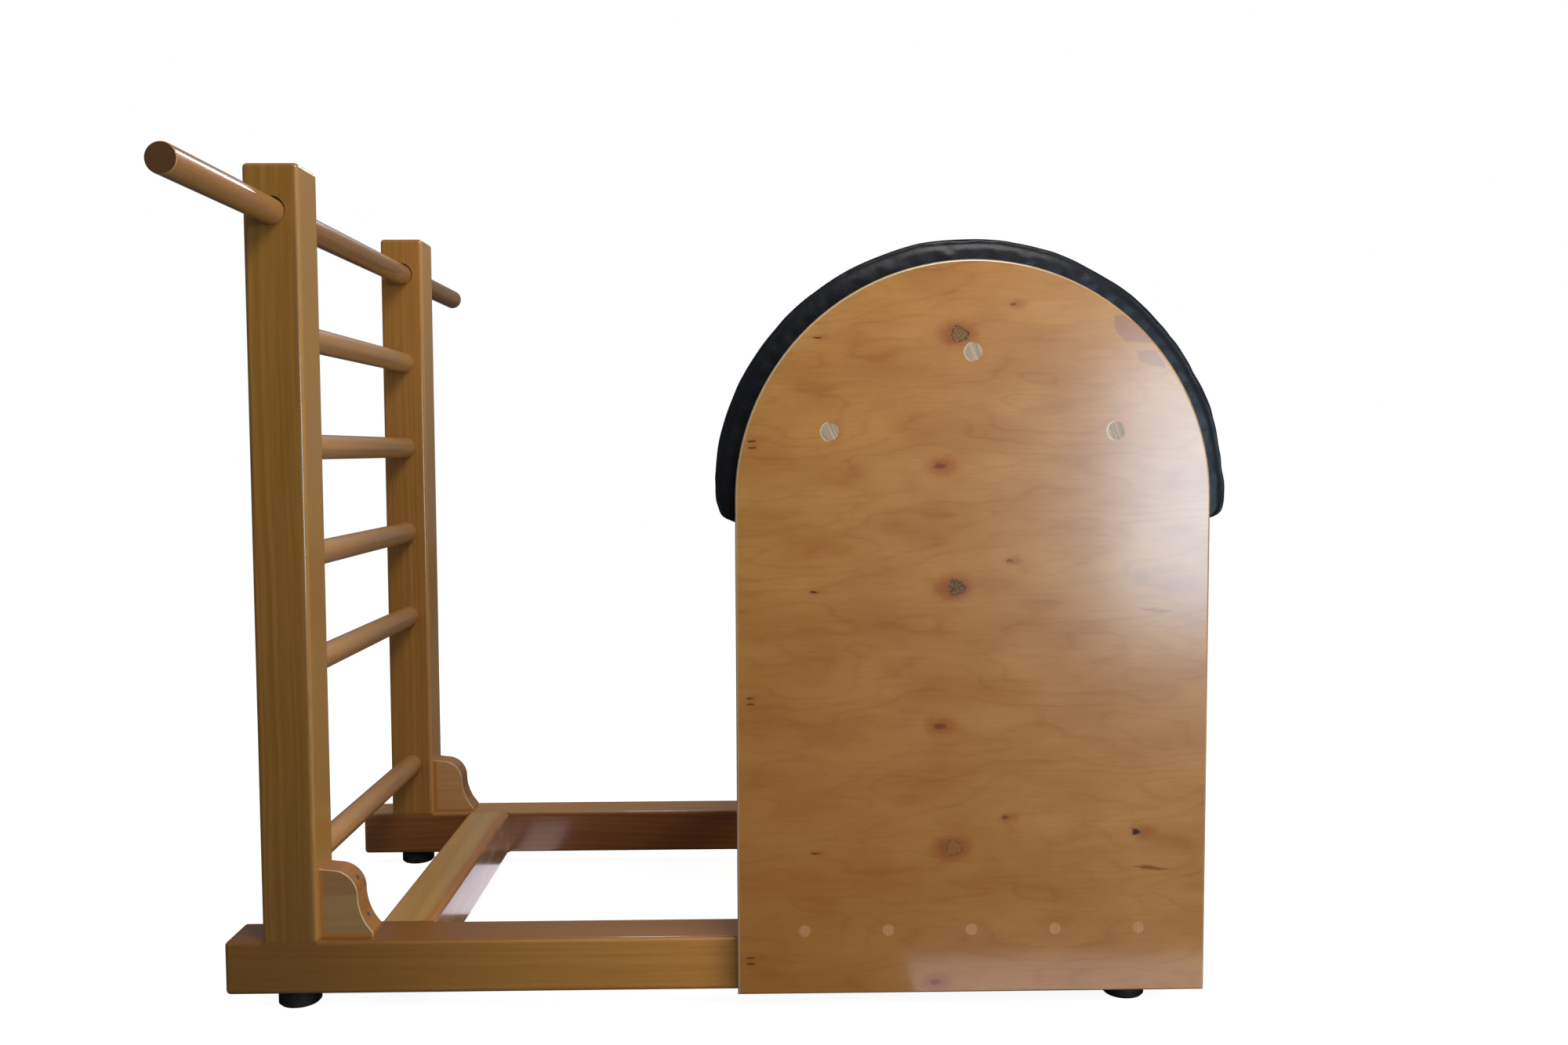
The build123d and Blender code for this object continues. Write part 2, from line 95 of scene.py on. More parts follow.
# The far brace is a lighter copy of the wood: painted light
FAR_BRACE_LIT_PALE = (0.66, 0.36, 0.15, 1)
FAR_BRACE_LIT_DEEP = (0.48, 0.23, 0.075, 1)
JOINT_AND_STREAK_ORANGE = (0.42, 0.16, 0.028, 1)
WORN_EDGE = (0.62, 0.4, 0.19, 1)
# Painted shade, for the darkening towards a piece's low end
PAINTED_SHADE_BROWN = (0.10, 0.035, 0.003, 1)
END_BROWN = (0.055, 0.020, 0.006, 1)
PORE_BROWN = (0.08, 0.04, 0.012, 1)
PLAIN_PALE = (0.62, 0.44, 0.24, 1)
PLAIN_DEEP = (0.46, 0.30, 0.13, 1)
BENT_PLY_PALE = (0.55, 0.38, 0.2, 1)
BENT_PLY_DEEP = (0.40, 0.24, 0.1, 1)
PLUG_PALE = (0.50, 0.25, 0.115, 1)
PLUG_DEEP = (0.43, 0.205, 0.085, 1)
END_PLUG_PALE = (0.46, 0.38, 0.27, 1)
END_PLUG_DEEP = (0.27, 0.20, 0.12, 1)
PLUG_HALO = (0.42, 0.15, 0.03, 1)
# Painted highlight: the bright crescent at a plug's left
PLUG_HIGHLIGHT = (0.72, 0.62, 0.48, 1)
PLUG_RIM = (0.20, 0.12, 0.06, 1)

VENEER_PALE = (0.475, 0.248, 0.068, 1)
VENEER_DEEP = (0.31, 0.122, 0.020, 1)
# Painted shade, low and to the left on the panel
VENEER_PAINTED_SHADE = (0.31, 0.105, 0.012, 1)
VENEER_TICK = (0.20, 0.075, 0.012, 1)
VENEER_GLINT = (0.62, 0.42, 0.20, 1)
# Pale line along the panel's outline: partly worn arris, partly painted highlight
VENEER_OUTLINE_WEAR_AND_HIGHLIGHT = (0.60, 0.52, 0.36, 1)
MAUVE = (0.25, 0.10, 0.055, 1)
PLY_PALE = (0.56, 0.46, 0.31, 1)
PLY_DEEP = (0.30, 0.18, 0.08, 1)
KNOT_STAIN = (0.30, 0.095, 0.014, 1)
RINGED_STAIN = (0.27, 0.070, 0.012, 1)
PURPLE_STAIN = (0.20, 0.07, 0.06, 1)
KNOT_OLIVE = (0.27, 0.150, 0.040, 1)
KNOT_BLACK = (0.030, 0.013, 0.006, 1)
BARK_RED = (0.15, 0.036, 0.008, 1)

ZINC_PALE = (0.60, 0.61, 0.62, 1)
ZINC_DEEP = (0.42, 0.43, 0.45, 1)
RUBBER = (0.010, 0.010, 0.010, 1)
RUBBER_DUST = (0.045, 0.042, 0.038, 1)
VINYL_CREASE = (0.0055, 0.0062, 0.0090, 1)
VINYL_TOP = (0.009, 0.0105, 0.015, 1)
ROOM_LIGHT = (0.28, 0.275, 0.265, 1)
FLOOR_DEEP = (0.30, 0.30, 0.30, 1)
FLOOR_PALE = (0.34, 0.34, 0.34, 1)
FLOOR_MIRRORED = (0.08, 0.08, 0.08, 1)


# Shader nodes


SOCKETS = {"value": "NodeSocketFloat", "colour": "NodeSocketColor", "vector": "NodeSocketVector"}


def add(tree, kind, inputs=None, **settings):
    """Adds a node, with its settings and inputs. An input is a value or another node's socket."""
    node = tree.nodes.new(kind)
    for name, value in settings.items():
        setattr(node, name, value)
    for name, value in (inputs or {}).items():
        if isinstance(value, bpy.types.NodeSocket):
            tree.links.new(value, node.inputs[name])
        else:
            node.inputs[name].default_value = value
    return node


def maths(tree, operation, first, second=0.0, third=0.0, clamp=False):
    values = {0: first, 1: second, 2: third}
    return add(tree, "ShaderNodeMath", values, operation=operation, use_clamp=clamp).outputs[0]


def mix_colours(tree, share, first, second, how="MIX"):
    values = {0: share, 6: first, 7: second}
    return add(tree, "ShaderNodeMix", values, data_type="RGBA", blend_type=how).outputs[2]


def smooth_range(tree, value, start, end, low=0.0, high=1.0):
    """Turns a value between start and end smoothly into one between low and high."""
    values = {0: value, 1: start, 2: end, 3: low, 4: high}
    return add(tree, "ShaderNodeMapRange", values, interpolation_type="SMOOTHSTEP").outputs[0]


def noise(tree, vector, scale=1.0, detail=2.0, roughness=0.5):
    values = {"Vector": vector, "Scale": scale, "Detail": detail, "Roughness": roughness}
    return add(tree, "ShaderNodeTexNoise", values).outputs[0]


def scaled(tree, vector, factors, shift=(0, 0, 0)):
    """A vector multiplied and then shifted, axis by axis."""
    values = {0: vector, 1: factors, 2: shift}
    return add(tree, "ShaderNodeVectorMath", values, operation="MULTIPLY_ADD").outputs[0]


def split(tree, vector):
    return add(tree, "ShaderNodeSeparateXYZ", {0: vector}).outputs


def joined(tree, x, y, z):
    return add(tree, "ShaderNodeCombineXYZ", {0: x, 1: y, 2: z}).outputs[0]


def length_of(tree, vector):
    return add(tree, "ShaderNodeVectorMath", {0: vector}, operation="LENGTH").outputs["Value"]


def vector_maths(tree, first, second, operation="ADD"):
    return add(tree, "ShaderNodeVectorMath", {0: first, 1: second}, operation=operation).outputs[0]


def facing(tree, normal):
    """How far a surface faces along each axis, either way."""
    turned = add(tree, "ShaderNodeVectorMath", {0: normal}, operation="ABSOLUTE").outputs[0]
    return split(tree, turned)


def new_group(name, inputs, outputs):
    """An empty node group with named sockets: returns its tree, what comes in and what goes out."""
    tree = bpy.data.node_groups.new(name, "ShaderNodeTree")
    for label, (kind, default) in inputs.items():
        socket = tree.interface.new_socket(label, in_out="INPUT", socket_type=SOCKETS[kind])
        socket.default_value = default
    for label, kind in outputs.items():
        tree.interface.new_socket(label, in_out="OUTPUT", socket_type=SOCKETS[kind])
    return tree, tree.nodes.new("NodeGroupInput").outputs, tree.nodes.new("NodeGroupOutput").inputs


def use(tree, group, **inputs):
    """Places a node group in a tree. Input names have spaces where the words have underscores."""
    node = add(tree, "ShaderNodeGroup", None, node_tree=group)
    for name, value in inputs.items():
        label = name.replace("_", " ").capitalize()
        if isinstance(value, bpy.types.NodeSocket):
            tree.links.new(value, node.inputs[label])
        else:
            node.inputs[label].default_value = value
    return node.outputs


# Effects that several materials share


def make_sawn_grain():
    """Solid timber grain that runs along X of its vector.

    Year rings are bands in the distance from the tree's heart, which lies along X. The vector is
    first bent by slow noise. Fibres are noise stretched along X, and clouds are broad noise.
    """
    tree, given, out = new_group(
        "sawn grain",
        {
            "Vector": ("vector", (0, 0, 0)),
            "Pale": ("colour", (0.5, 0.3, 0.1, 1)),
            "Deep": ("colour", (0.3, 0.15, 0.04, 1)),
            "Ring width": ("value", 0.005),
            "Figure": ("value", 0.5),
        },
        {"Color": "colour", "Height": "value"},
    )
    slow = add(
        tree, "ShaderNodeTexNoise",
        {"Vector": scaled(tree, given["Vector"], (1.3, 5, 5)), "Scale": 1.0, "Detail": 2.0},
    ).outputs["Color"]
    bent = vector_maths(tree, given["Vector"], scaled(tree, slow, (0, 0.03, 0.03), (0, -0.015, -0.015)))
    _, across, up = split(tree, bent)
    heart = length_of(tree, joined(tree, 0.0, across, up))
    rings = add(
        tree, "ShaderNodeTexNoise",
        {"W": maths(tree, "DIVIDE", heart, given["Ring width"]), "Scale": 1.0, "Detail": 1.5},
        noise_dimensions="1D",
    ).outputs[0]
    fibres = noise(tree, scaled(tree, bent, (9, 330, 330)), detail=3.0, roughness=0.6)
    clouds = noise(tree, scaled(tree, bent, (2.2, 14, 14)), detail=3.0)
    pores = noise(tree, scaled(tree, bent, (70, 1500, 1500)), detail=1.0)
    banding = maths(tree, "MULTIPLY", maths(tree, "SUBTRACT", rings, 0.5), given["Figure"])
    share = maths(tree, "MULTIPLY_ADD", banding, 1.6, 0.5)
    share = maths(tree, "MULTIPLY_ADD", maths(tree, "SUBTRACT", fibres, 0.5), 0.7, share)
    share = maths(tree, "MULTIPLY_ADD", maths(tree, "SUBTRACT", clouds, 0.5), 0.9, share, clamp=True)
    ticks = smooth_range(tree, pores, 0.64, 0.74, 0.0, 0.28)
    plain = mix_colours(tree, share, given["Pale"], given["Deep"])
    tree.links.new(mix_colours(tree, ticks, plain, PORE_BROWN), out["Color"])
    tree.links.new(maths(tree, "SUBTRACT", fibres, ticks), out["Height"])
    return tree


def make_rounded_edges():
    """1 on rounded edges, 0 on flat faces: how far the surface turns away from all three axes."""
    tree, given, out = new_group(
        "rounded edges", {"Normal": ("vector", (0, 0, 1))}, {"Mask": "value"}
    )
    x, y, z = facing(tree, given["Normal"])
    most = maths(tree, "MAXIMUM", x, maths(tree, "MAXIMUM", y, z))
    tree.links.new(smooth_range(tree, most, 0.8, 0.99, 1.0, 0.0), out["Mask"])
    return tree


def make_varnish():
    """Uneven gloss and the faint ripple of brushed varnish, with dust nibs that stand proud."""
    tree, given, out = new_group(
        "varnish",
        {
            "Vector": ("vector", (0, 0, 0)),
            "Gloss": ("value", 0.3),
            "Unevenness": ("value", 0.1),
            "Grain height": ("value", 0.0),
        },
        {"Roughness": "value", "Height": "value"},
    )
    smears = noise(tree, given["Vector"], 14.0, 4.0, 0.6)
    ripple = noise(tree, given["Vector"], 55.0, 2.0)
    nibs = smooth_range(tree, noise(tree, given["Vector"], 420.0, 1.0), 0.72, 0.8)
    rough = maths(tree, "MULTIPLY_ADD", maths(tree, "SUBTRACT", smears, 0.5), given["Unevenness"],
                  given["Gloss"])
    height = maths(tree, "MULTIPLY_ADD", given["Grain height"], 0.12, ripple)
    tree.links.new(rough, out["Roughness"])
    tree.links.new(maths(tree, "MULTIPLY_ADD", nibs, 0.15, height), out["Height"])
    return tree


# The veneer was peeled from a round log: every turn of the log shows the same knots again, at a
# girth that shrinks by a fixed share of the height peeled.
LOG_GIRTH = 0.3415
GIRTH_LOSS = 0.031
PEEL_START = 0.022


def make_peeled_veneer():
    """Rotary cut veneer with its grain along X and the sheet peeled along Z.

    Height z is turned into turns of the log, -ln(1 - loss z / girth) / loss, and so into a point
    (x, r cos, r sin) on the log's skin. Noise taken there repeats from turn to turn. Ring lines are
    where the skin's radius, bent by slow noise, passes a multiple of the ring width.
    """
    tree, given, out = new_group(
        "peeled veneer",
        {
            "Vector": ("vector", (0, 0, 0)),
            "Pale": ("colour", (0.5, 0.3, 0.1, 1)),
            "Deep": ("colour", (0.3, 0.15, 0.04, 1)),
            "Ring width": ("value", 0.0034),
        },
        {"Color": "colour", "Height": "value"},
    )
    x, _, z = split(tree, given["Vector"])
    girth = maths(tree, "MULTIPLY_ADD", z, -GIRTH_LOSS, LOG_GIRTH)
    left = maths(tree, "DIVIDE", girth, LOG_GIRTH)
    turns = maths(tree, "DIVIDE", maths(tree, "LOGARITHM", left, math.e), -GIRTH_LOSS)
    angle = maths(tree, "MULTIPLY", turns, 2 * math.pi)
    radius = maths(tree, "DIVIDE", girth, 2 * math.pi)
    skin = joined(tree, x, maths(tree, "MULTIPLY", radius, maths(tree, "COSINE", angle)),
                  maths(tree, "MULTIPLY", radius, maths(tree, "SINE", angle)))
    clouds = noise(tree, scaled(tree, skin, (7, 16, 16)), detail=4.0, roughness=0.55)
    bulge = noise(tree, scaled(tree, skin, (3.2, 11, 11), (5, 5, 5)), detail=3.0, roughness=0.45)
    depth = maths(tree, "MULTIPLY_ADD", bulge, 0.04, radius)
    ring = maths(tree, "MULTIPLY", maths(tree, "DIVIDE", depth, given["Ring width"]), 2 * math.pi)
    wave = maths(tree, "MULTIPLY_ADD", maths(tree, "COSINE", ring), 0.5, 0.5)
    line = maths(tree, "POWER", wave, 5.0)
    line = maths(tree, "MULTIPLY", line, noise(tree, scaled(tree, skin, (12, 30, 30), (9, 9, 9))))
    streaks = noise(tree, scaled(tree, given["Vector"], (16, 1, 240)), detail=3.0, roughness=0.55)
    dashes = noise(tree, scaled(tree, given["Vector"], (95, 1, 1000)), detail=1.0)
    share = maths(tree, "MULTIPLY_ADD", maths(tree, "SUBTRACT", clouds, 0.5), 1.5, 0.5)
    share = maths(tree, "MULTIPLY_ADD", maths(tree, "SUBTRACT", streaks, 0.5), 0.5, share)
    share = maths(tree, "MULTIPLY_ADD", line, 0.36, share, clamp=True)
    ticks = smooth_range(tree, dashes, 0.61, 0.72, 0.0, 0.30)
    glints = smooth_range(tree, dashes, 0.36, 0.26, 0.0, 0.12)
    colour = mix_colours(tree, share, given["Pale"], given["Deep"])
    colour = mix_colours(tree, ticks, colour, VENEER_TICK)
    colour = mix_colours(tree, glints, colour, VENEER_GLINT)
    tree.links.new(colour, out["Color"])
    tree.links.new(maths(tree, "SUBTRACT", streaks, ticks), out["Height"])
    return tree


def make_knot():
    """One knot: a soft stain, and a core whose outline bulges towards three corners.

    Distances are measured from the knot's centre in units of the stain's and the core's half
    sizes, after the place has been turned by the tilt and bent by noise. Inside an outline the wood
    is olive with dark cracks. A core without an outline is a plain spot.
    """
    tree, given, out = new_group(
        "knot",
        {
            "Color": ("colour", (0.5, 0.3, 0.1, 1)),
            "Vector": ("vector", (0, 0, 0)),
            "Centre": ("vector", (0, 0, 0)),
            "Tilt": ("value", 0.0),
            "Stain": ("vector", (0.03, 1.0, 0.02)),
            "Stain shift": ("value", 0.0),
            "Stain strength": ("value", 0.5),
            "Stain color": ("colour", KNOT_STAIN),
            "Core": ("vector", (0.01, 1.0, 0.01)),
            "Core color": ("colour", (0.05, 0.02, 0.005, 1)),
            "Filled": ("value", 0.0),
            "Outlined": ("value", 1.0),
        },
        {"Color": "colour", "Height": "value"},
    )
    away = vector_maths(tree, given["Vector"], given["Centre"], "SUBTRACT")
    away = scaled(tree, away, (1, 0, 1))
    turned = add(
        tree, "ShaderNodeVectorRotate",
        {"Vector": away, "Center": (0, 0, 0), "Angle": given["Tilt"]}, rotation_type="Y_AXIS",
    ).outputs[0]
    wave = add(
        tree, "ShaderNodeTexNoise",
        {"Vector": given["Vector"], "Scale": 120.0, "Detail": 4.0, "Roughness": 0.6},
    ).outputs["Color"]
    bent = vector_maths(tree, turned, scaled(tree, wave, (0.006, 0, 0.006), (-0.003, 0, -0.003)))
    x, _, z = split(tree, bent)
    # Stain
    shifted = joined(tree, maths(tree, "SUBTRACT", x, given["Stain shift"]), 0.0, z)
    far = length_of(tree, vector_maths(tree, shifted, given["Stain"], "DIVIDE"))
    fringe = noise(tree, scaled(tree, given["Vector"], (90, 1, 420)))
    ragged = maths(tree, "MULTIPLY_ADD", fringe, 0.5, far)
    stain = maths(tree, "MULTIPLY", smooth_range(tree, ragged, 1.15, 0.45), given["Stain strength"])
    # Core
    lobes = maths(tree, "COSINE", maths(tree, "MULTIPLY_ADD", maths(tree, "ARCTAN2", z, x), 3.0, 0.5))
    reach = length_of(tree, vector_maths(tree, joined(tree, x, 0.0, z), given["Core"], "DIVIDE"))
    reach = maths(tree, "DIVIDE", reach, maths(tree, "MULTIPLY_ADD", lobes, 0.10, 1.0))
    body = smooth_range(tree, reach, 1.3, 0.6)
    broken = noise(tree, given["Vector"], 260.0, 2.0)
    wide = smooth_range(tree, broken, 0.35, 0.68, -0.01, 0.10)
    off_rim = maths(tree, "ABSOLUTE", maths(tree, "SUBTRACT", reach, 0.86))
    rim = smooth_range(tree, maths(tree, "SUBTRACT", off_rim, wide), 0.06, -0.04)
    cracks = noise(tree, scaled(tree, given["Vector"], (330, 330, 520)), detail=2.0)
    whole = maths(tree, "SUBTRACT", 1.0, given["Outlined"])
    cracked = maths(tree, "MAXIMUM", whole, smooth_range(tree, cracks, 0.60, 0.42))
    inside = maths(tree, "MULTIPLY", body, cracked)
    core = maths(tree, "MAXIMUM", maths(tree, "MULTIPLY", rim, given["Outlined"]),
                 maths(tree, "MULTIPLY", inside, given["Filled"]), clamp=True)
    colour = mix_colours(tree, stain, given["Color"], given["Stain color"])
    olive = maths(tree, "MULTIPLY", body, given["Outlined"])
    colour = mix_colours(tree, maths(tree, "MULTIPLY", olive, 0.75), colour, KNOT_OLIVE)
    colour = mix_colours(tree, core, colour, given["Core color"])
    tree.links.new(colour, out["Color"])
    tree.links.new(core, out["Height"])
    return tree


def make_leather_grain():
    """Fine pebbled grain: soft cells parted by narrow creases, with a few longer wrinkles."""
    tree, given, out = new_group(
        "leather grain", {"Vector": ("vector", (0, 0, 0))}, {"Height": "value", "Mask": "value"}
    )
    cells = add(tree, "ShaderNodeTexVoronoi",
                {"Vector": given["Vector"], "Scale": 620.0, "Smoothness": 0.6},
                feature="SMOOTH_F1").outputs["Distance"]
    wrinkles = noise(tree, given["Vector"], 160.0, 3.0, 0.6)
    height = maths(tree, "MULTIPLY_ADD", wrinkles, 1.4, maths(tree, "MULTIPLY", cells, -0.6))
    tree.links.new(height, out["Height"])
    tree.links.new(smooth_range(tree, cells, 0.2, 0.6), out["Mask"])
    return tree


SAWN_GRAIN = make_sawn_grain()
ROUNDED_EDGES = make_rounded_edges()
VARNISH = make_varnish()
PEELED_VENEER = make_peeled_veneer()
KNOT = make_knot()
LEATHER_GRAIN = make_leather_grain()


# Materials


def new_material(name):
    """A material with its Principled shader, and the place and the facing of its surface."""
    material = bpy.data.materials.new(name)
    material.use_nodes = True
    tree = material.node_tree
    shader = tree.nodes["Principled BSDF"]
    place = add(tree, "ShaderNodeTexCoord")
    return material, tree, shader, place.outputs["Object"], place.outputs["Normal"]


def bump(tree, shader, height, distance, strength=1.0):
    made = add(tree, "ShaderNodeBump", {"Height": height, "Distance": distance, "Strength": strength})
    tree.links.new(made.outputs[0], shader.inputs["Normal"])


def varnished(tree, shader, place, grain_height, gloss=0.42, unevenness=0.12, relief=0.0003, film=0.16):
    """Brushed varnish over the wood. film is the roughness of its clear coat, if it has one."""
    finish = use(tree, VARNISH, vector=place, gloss=gloss, unevenness=unevenness,
                 grain_height=grain_height)
    tree.links.new(finish["Roughness"], shader.inputs["Roughness"])
    bump(tree, shader, finish["Height"], relief)
    if film:
        shader.inputs["Coat Weight"].default_value = 1.0
        shader.inputs["Coat Roughness"].default_value = film


BRACE_TONE_Z = RAIL_TOP + 0.055   # where a brace's flat face changes tone
SHADE_FADE_SPAN = {"x": (-0.65, 0.10), "z": (0.0, 0.9)}   # painted shade, from the dark end to the pale end
STREAK_BLEED = 0.02   # how far the streak wanders


def timber(name, along, heart, pale, deep, ring_width=0.006, figure=0.5, gloss=0.42, film=0.16,
           shade_fade=0.0, sawn_end=0.0, top_painted_light=None, flank_painted_light=None, streak_x=None):
    """Varnished solid wood. along is the grain's axis and heart lies on the tree's middle line.

    The fade paints shade: it darkens a piece towards its low end along the grain. sawn_end darkens
    its end faces, where open pores drink the varnish. The tints for faces that look up and along +X
    paint light and shade on them. streak_x is where an orange streak runs along an edge.
    """
    material, tree, shader, place, normal = new_material(name)
    x, y, z = split(tree, vector_maths(tree, place, heart, "SUBTRACT"))
    turned = {"x": (x, y, z), "y": (y, z, x), "z": (z, x, y)}[along]
    grain = use(tree, SAWN_GRAIN, vector=joined(tree, *turned), pale=pale, deep=deep,
                ring_width=ring_width, figure=figure)
    edge = use(tree, ROUNDED_EDGES, normal=normal)["Mask"]
    worn = maths(tree, "MULTIPLY", edge, noise(tree, place, 30.0, 3.0))
    colour = mix_colours(tree, maths(tree, "MULTIPLY", worn, 0.35), grain["Color"], WORN_EDGE)
    length = {"x": x, "y": y, "z": z}[along]
    # Painted shade: darker towards the low end along the grain
    if shade_fade:
        darker = smooth_range(tree, length, *SHADE_FADE_SPAN[along], shade_fade, 0.0)
        colour = mix_colours(tree, darker, colour, PAINTED_SHADE_BROWN)
    # Painted light and shade on the faces that look up and along +X
    for axis, painted_tint in ((2, top_painted_light), (0, flank_painted_light)):
        if painted_tint:
            turned_there = smooth_range(tree, split(tree, normal)[axis], 0.6, 0.95, 0.0, 0.65)
            colour = mix_colours(tree, turned_there, colour, painted_tint)
    # An orange streak along an edge
    if streak_x is not None:
        runs = noise(tree, scaled(tree, place, (60, 14, 60)), detail=3.0)
        bleed = maths(tree, "MULTIPLY_ADD", runs, STREAK_BLEED, x)
        middle = streak_x - heart[0] + STREAK_BLEED / 4
        band = maths(tree, "ABSOLUTE", maths(tree, "SUBTRACT", bleed, middle))
        streak = smooth_range(tree, band, 0.014, 0.003, 0.0, 0.95)
        colour = mix_colours(tree, streak, colour, JOINT_AND_STREAK_ORANGE)
    if sawn_end:
        square_on = facing(tree, normal)["xyz".index(along)]
        end = smooth_range(tree, square_on, 0.8, 0.97, 0.0, sawn_end)
        colour = mix_colours(tree, end, colour, END_BROWN)
    tree.links.new(colour, shader.inputs["Base Color"])
    varnished(tree, shader, place, grain["Height"], gloss, film=film)
    return material


def dress(material, *names):
    """Gives CAD nodes a material in place of their plain one."""
    for name in names:
        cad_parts[name].data.materials.clear()
        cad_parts[name].data.materials.append(material)


# Knots of the panel veneer as (x, z) in the frame. Each tuple holds the same knot in one turn of
# the log after another. A ringed knot also has how full its core is, how strong its outline is
# and the colour of both.
RINGED_KNOTS = (
    (0.2977, 0.8638, 0.6, 1.0, KNOT_BLACK),
    (0.2951, 0.5459, 0.9, 0.8, KNOT_BLACK),
    (0.2925, 0.2125, 0.2, 0.85, BARK_RED),
)
SOFT_KNOTS = ((0.2736, 0.6996), (0.2735, 0.3694), (0.2690, 0.0378))
LEFT_PINS = ((0.1196, 0.8602), (0.1144, 0.5412), (0.1150, 0.2070))
RIGHT_PINS = ((0.3646, 0.9011), (0.3622, 0.5799), (0.3581, 0.2515))
EDGE_PINS = ((0.0371, 0.7272), (0.0339, 0.4029), (0.0313, 0.0677))
EDGE_PIN_DROPS = (-0.004, 0.004)   # each edge pin is a pair, one above the other
FAINT_KNOTS = ((0.4026, 0.3785), (0.4020, 0.0430))
PURPLE_KNOT = (0.529, 0.560)
DARK_DOT = (0.526, 0.231)
RED_STREAKS = ((0.5448, 0.1841, 0.9, 0.8), (0.5474, 0.5159, 0.55, 0.4))   # strength, fullness
NO_CORE = (0.001, 0.001)


def knot(x, z, stain, core, strength, filled, outlined=0.0, shift=0.0, tilt=0.0,
         stain_color=KNOT_STAIN, core_color=BARK_RED):
    """One knot as the inputs of its node group. stain and core are half sizes in x and z."""
    return dict(centre=(x, 0, z), tilt=tilt, stain=(stain[0], 1, stain[1]), stain_shift=shift,
                stain_strength=strength, stain_color=stain_color, core=(core[0], 1, core[1]),
                core_color=core_color, filled=filled, outlined=outlined)


def knot_list():
    """Every knot of the veneer, in the order in which they are painted over each other."""
    knots = [knot(x, z, (0.040, 0.027), (0.0115, 0.0105), 0.95, filled, outlined, -0.003, 0.1,
                  RINGED_STAIN, colour) for x, z, filled, outlined, colour in RINGED_KNOTS]
    knots += [knot(x, z, (0.034, 0.021), (0.008, 0.0036), 0.95, 0.85, shift=0.003)
              for x, z in SOFT_KNOTS]
    knots += [knot(x, z, (0.018, 0.007), (0.0055, 0.0012), 0.5, 0.9, shift=0.004,
                   core_color=KNOT_BLACK) for x, z in LEFT_PINS]
    knots += [knot(x, z, (0.020, 0.010), (0.0045, 0.002), 0.7, 0.8, shift=0.005)
              for x, z in RIGHT_PINS]
    knots += [knot(x, z + drop, (0.013, 0.009), (0.0055, 0.0012), 0.4, 0.8, shift=0.003,
                   core_color=KNOT_BLACK) for x, z in EDGE_PINS for drop in EDGE_PIN_DROPS]
    knots += [knot(x, z, (0.016, 0.020), NO_CORE, 0.35, 0.0) for x, z in FAINT_KNOTS]
    knots.append(knot(*PURPLE_KNOT, (0.016, 0.014), NO_CORE, 0.35, 0.0, stain_color=PURPLE_STAIN))
    knots.append(knot(*DARK_DOT, (0.026, 0.017), (0.0048, 0.0045), 0.8, 1.0, shift=0.010,
                      core_color=KNOT_BLACK))
    knots += [knot(x, z, (0.026, 0.006), (0.024, 0.0012), strength, filled, tilt=-0.10)
              for x, z, strength, filled in RED_STREAKS]
    return knots


# Two mauve patches, as the (x, z) corners of convex outlines
MAUVE_PATCHES = (
    ((0.491, 0.886), (0.503, 0.887), (0.541, 0.864), (0.543, 0.852), (0.507, 0.854),
     (0.494, 0.866)),
    ((0.520, 0.842), (0.541, 0.844), (0.555, 0.829), (0.557, 0.820), (0.524, 0.829)),
)
PLUG_CENTRES = (
    (ARCH_X, ARCH_Z + 0.185),
    (ARCH_X - 0.180, ARCH_Z + 0.086),
    (ARCH_X + 0.180, ARCH_Z + 0.086),
)
PLUG_R = 0.011
PLY = 0.00138   # thickness of one ply


def patch_mask(tree, vector, corners):
    """1 inside a convex outline: the furthest of the signed distances to its edges, clockwise."""
    furthest = -1.0
    for (x0, z0), (x1, z1) in zip(corners, corners[1:] + corners[:1]):
        size = math.hypot(x1 - x0, z1 - z0)
        outward = (-(z1 - z0) / size, 0, (x1 - x0) / size)
        level = outward[0] * x0 + outward[2] * z0
        along = add(tree, "ShaderNodeVectorMath", {0: vector, 1: outward}, operation="DOT_PRODUCT")
        away = maths(tree, "SUBTRACT", along.outputs["Value"], level)
        furthest = maths(tree, "MAXIMUM", away, furthest)
    return smooth_range(tree, furthest, 0.0006, -0.0006)


def plug_surround(tree, vector, colour, centre):
    """Wood round a plug: a thin dark rim, a painted highlight crescent at the left, a warm halo right.
    """
    away = vector_maths(tree, vector, (centre[0], 0, centre[1]), "SUBTRACT")
    reach = length_of(tree, away)
    side = maths(tree, "DIVIDE", split(tree, away)[0], PLUG_R)
    halo = maths(tree, "MULTIPLY", smooth_range(tree, reach, 0.021, 0.012, 0.0, 0.7),
                 smooth_range(tree, side, -0.4, 0.9))
    crescent = maths(tree, "MULTIPLY", smooth_range(tree, reach, 0.0134, 0.0120, 0.0, 0.8),
                     smooth_range(tree, side, 0.1, -0.7))
    rim = smooth_range(tree, reach, 0.0122, 0.0112, 0.0, 0.6)
    colour = mix_colours(tree, halo, colour, PLUG_HALO)
    # Painted highlight, a bright crescent at the left
    colour = mix_colours(tree, crescent, colour, PLUG_HIGHLIGHT)
    return mix_colours(tree, rim, colour, PLUG_RIM)


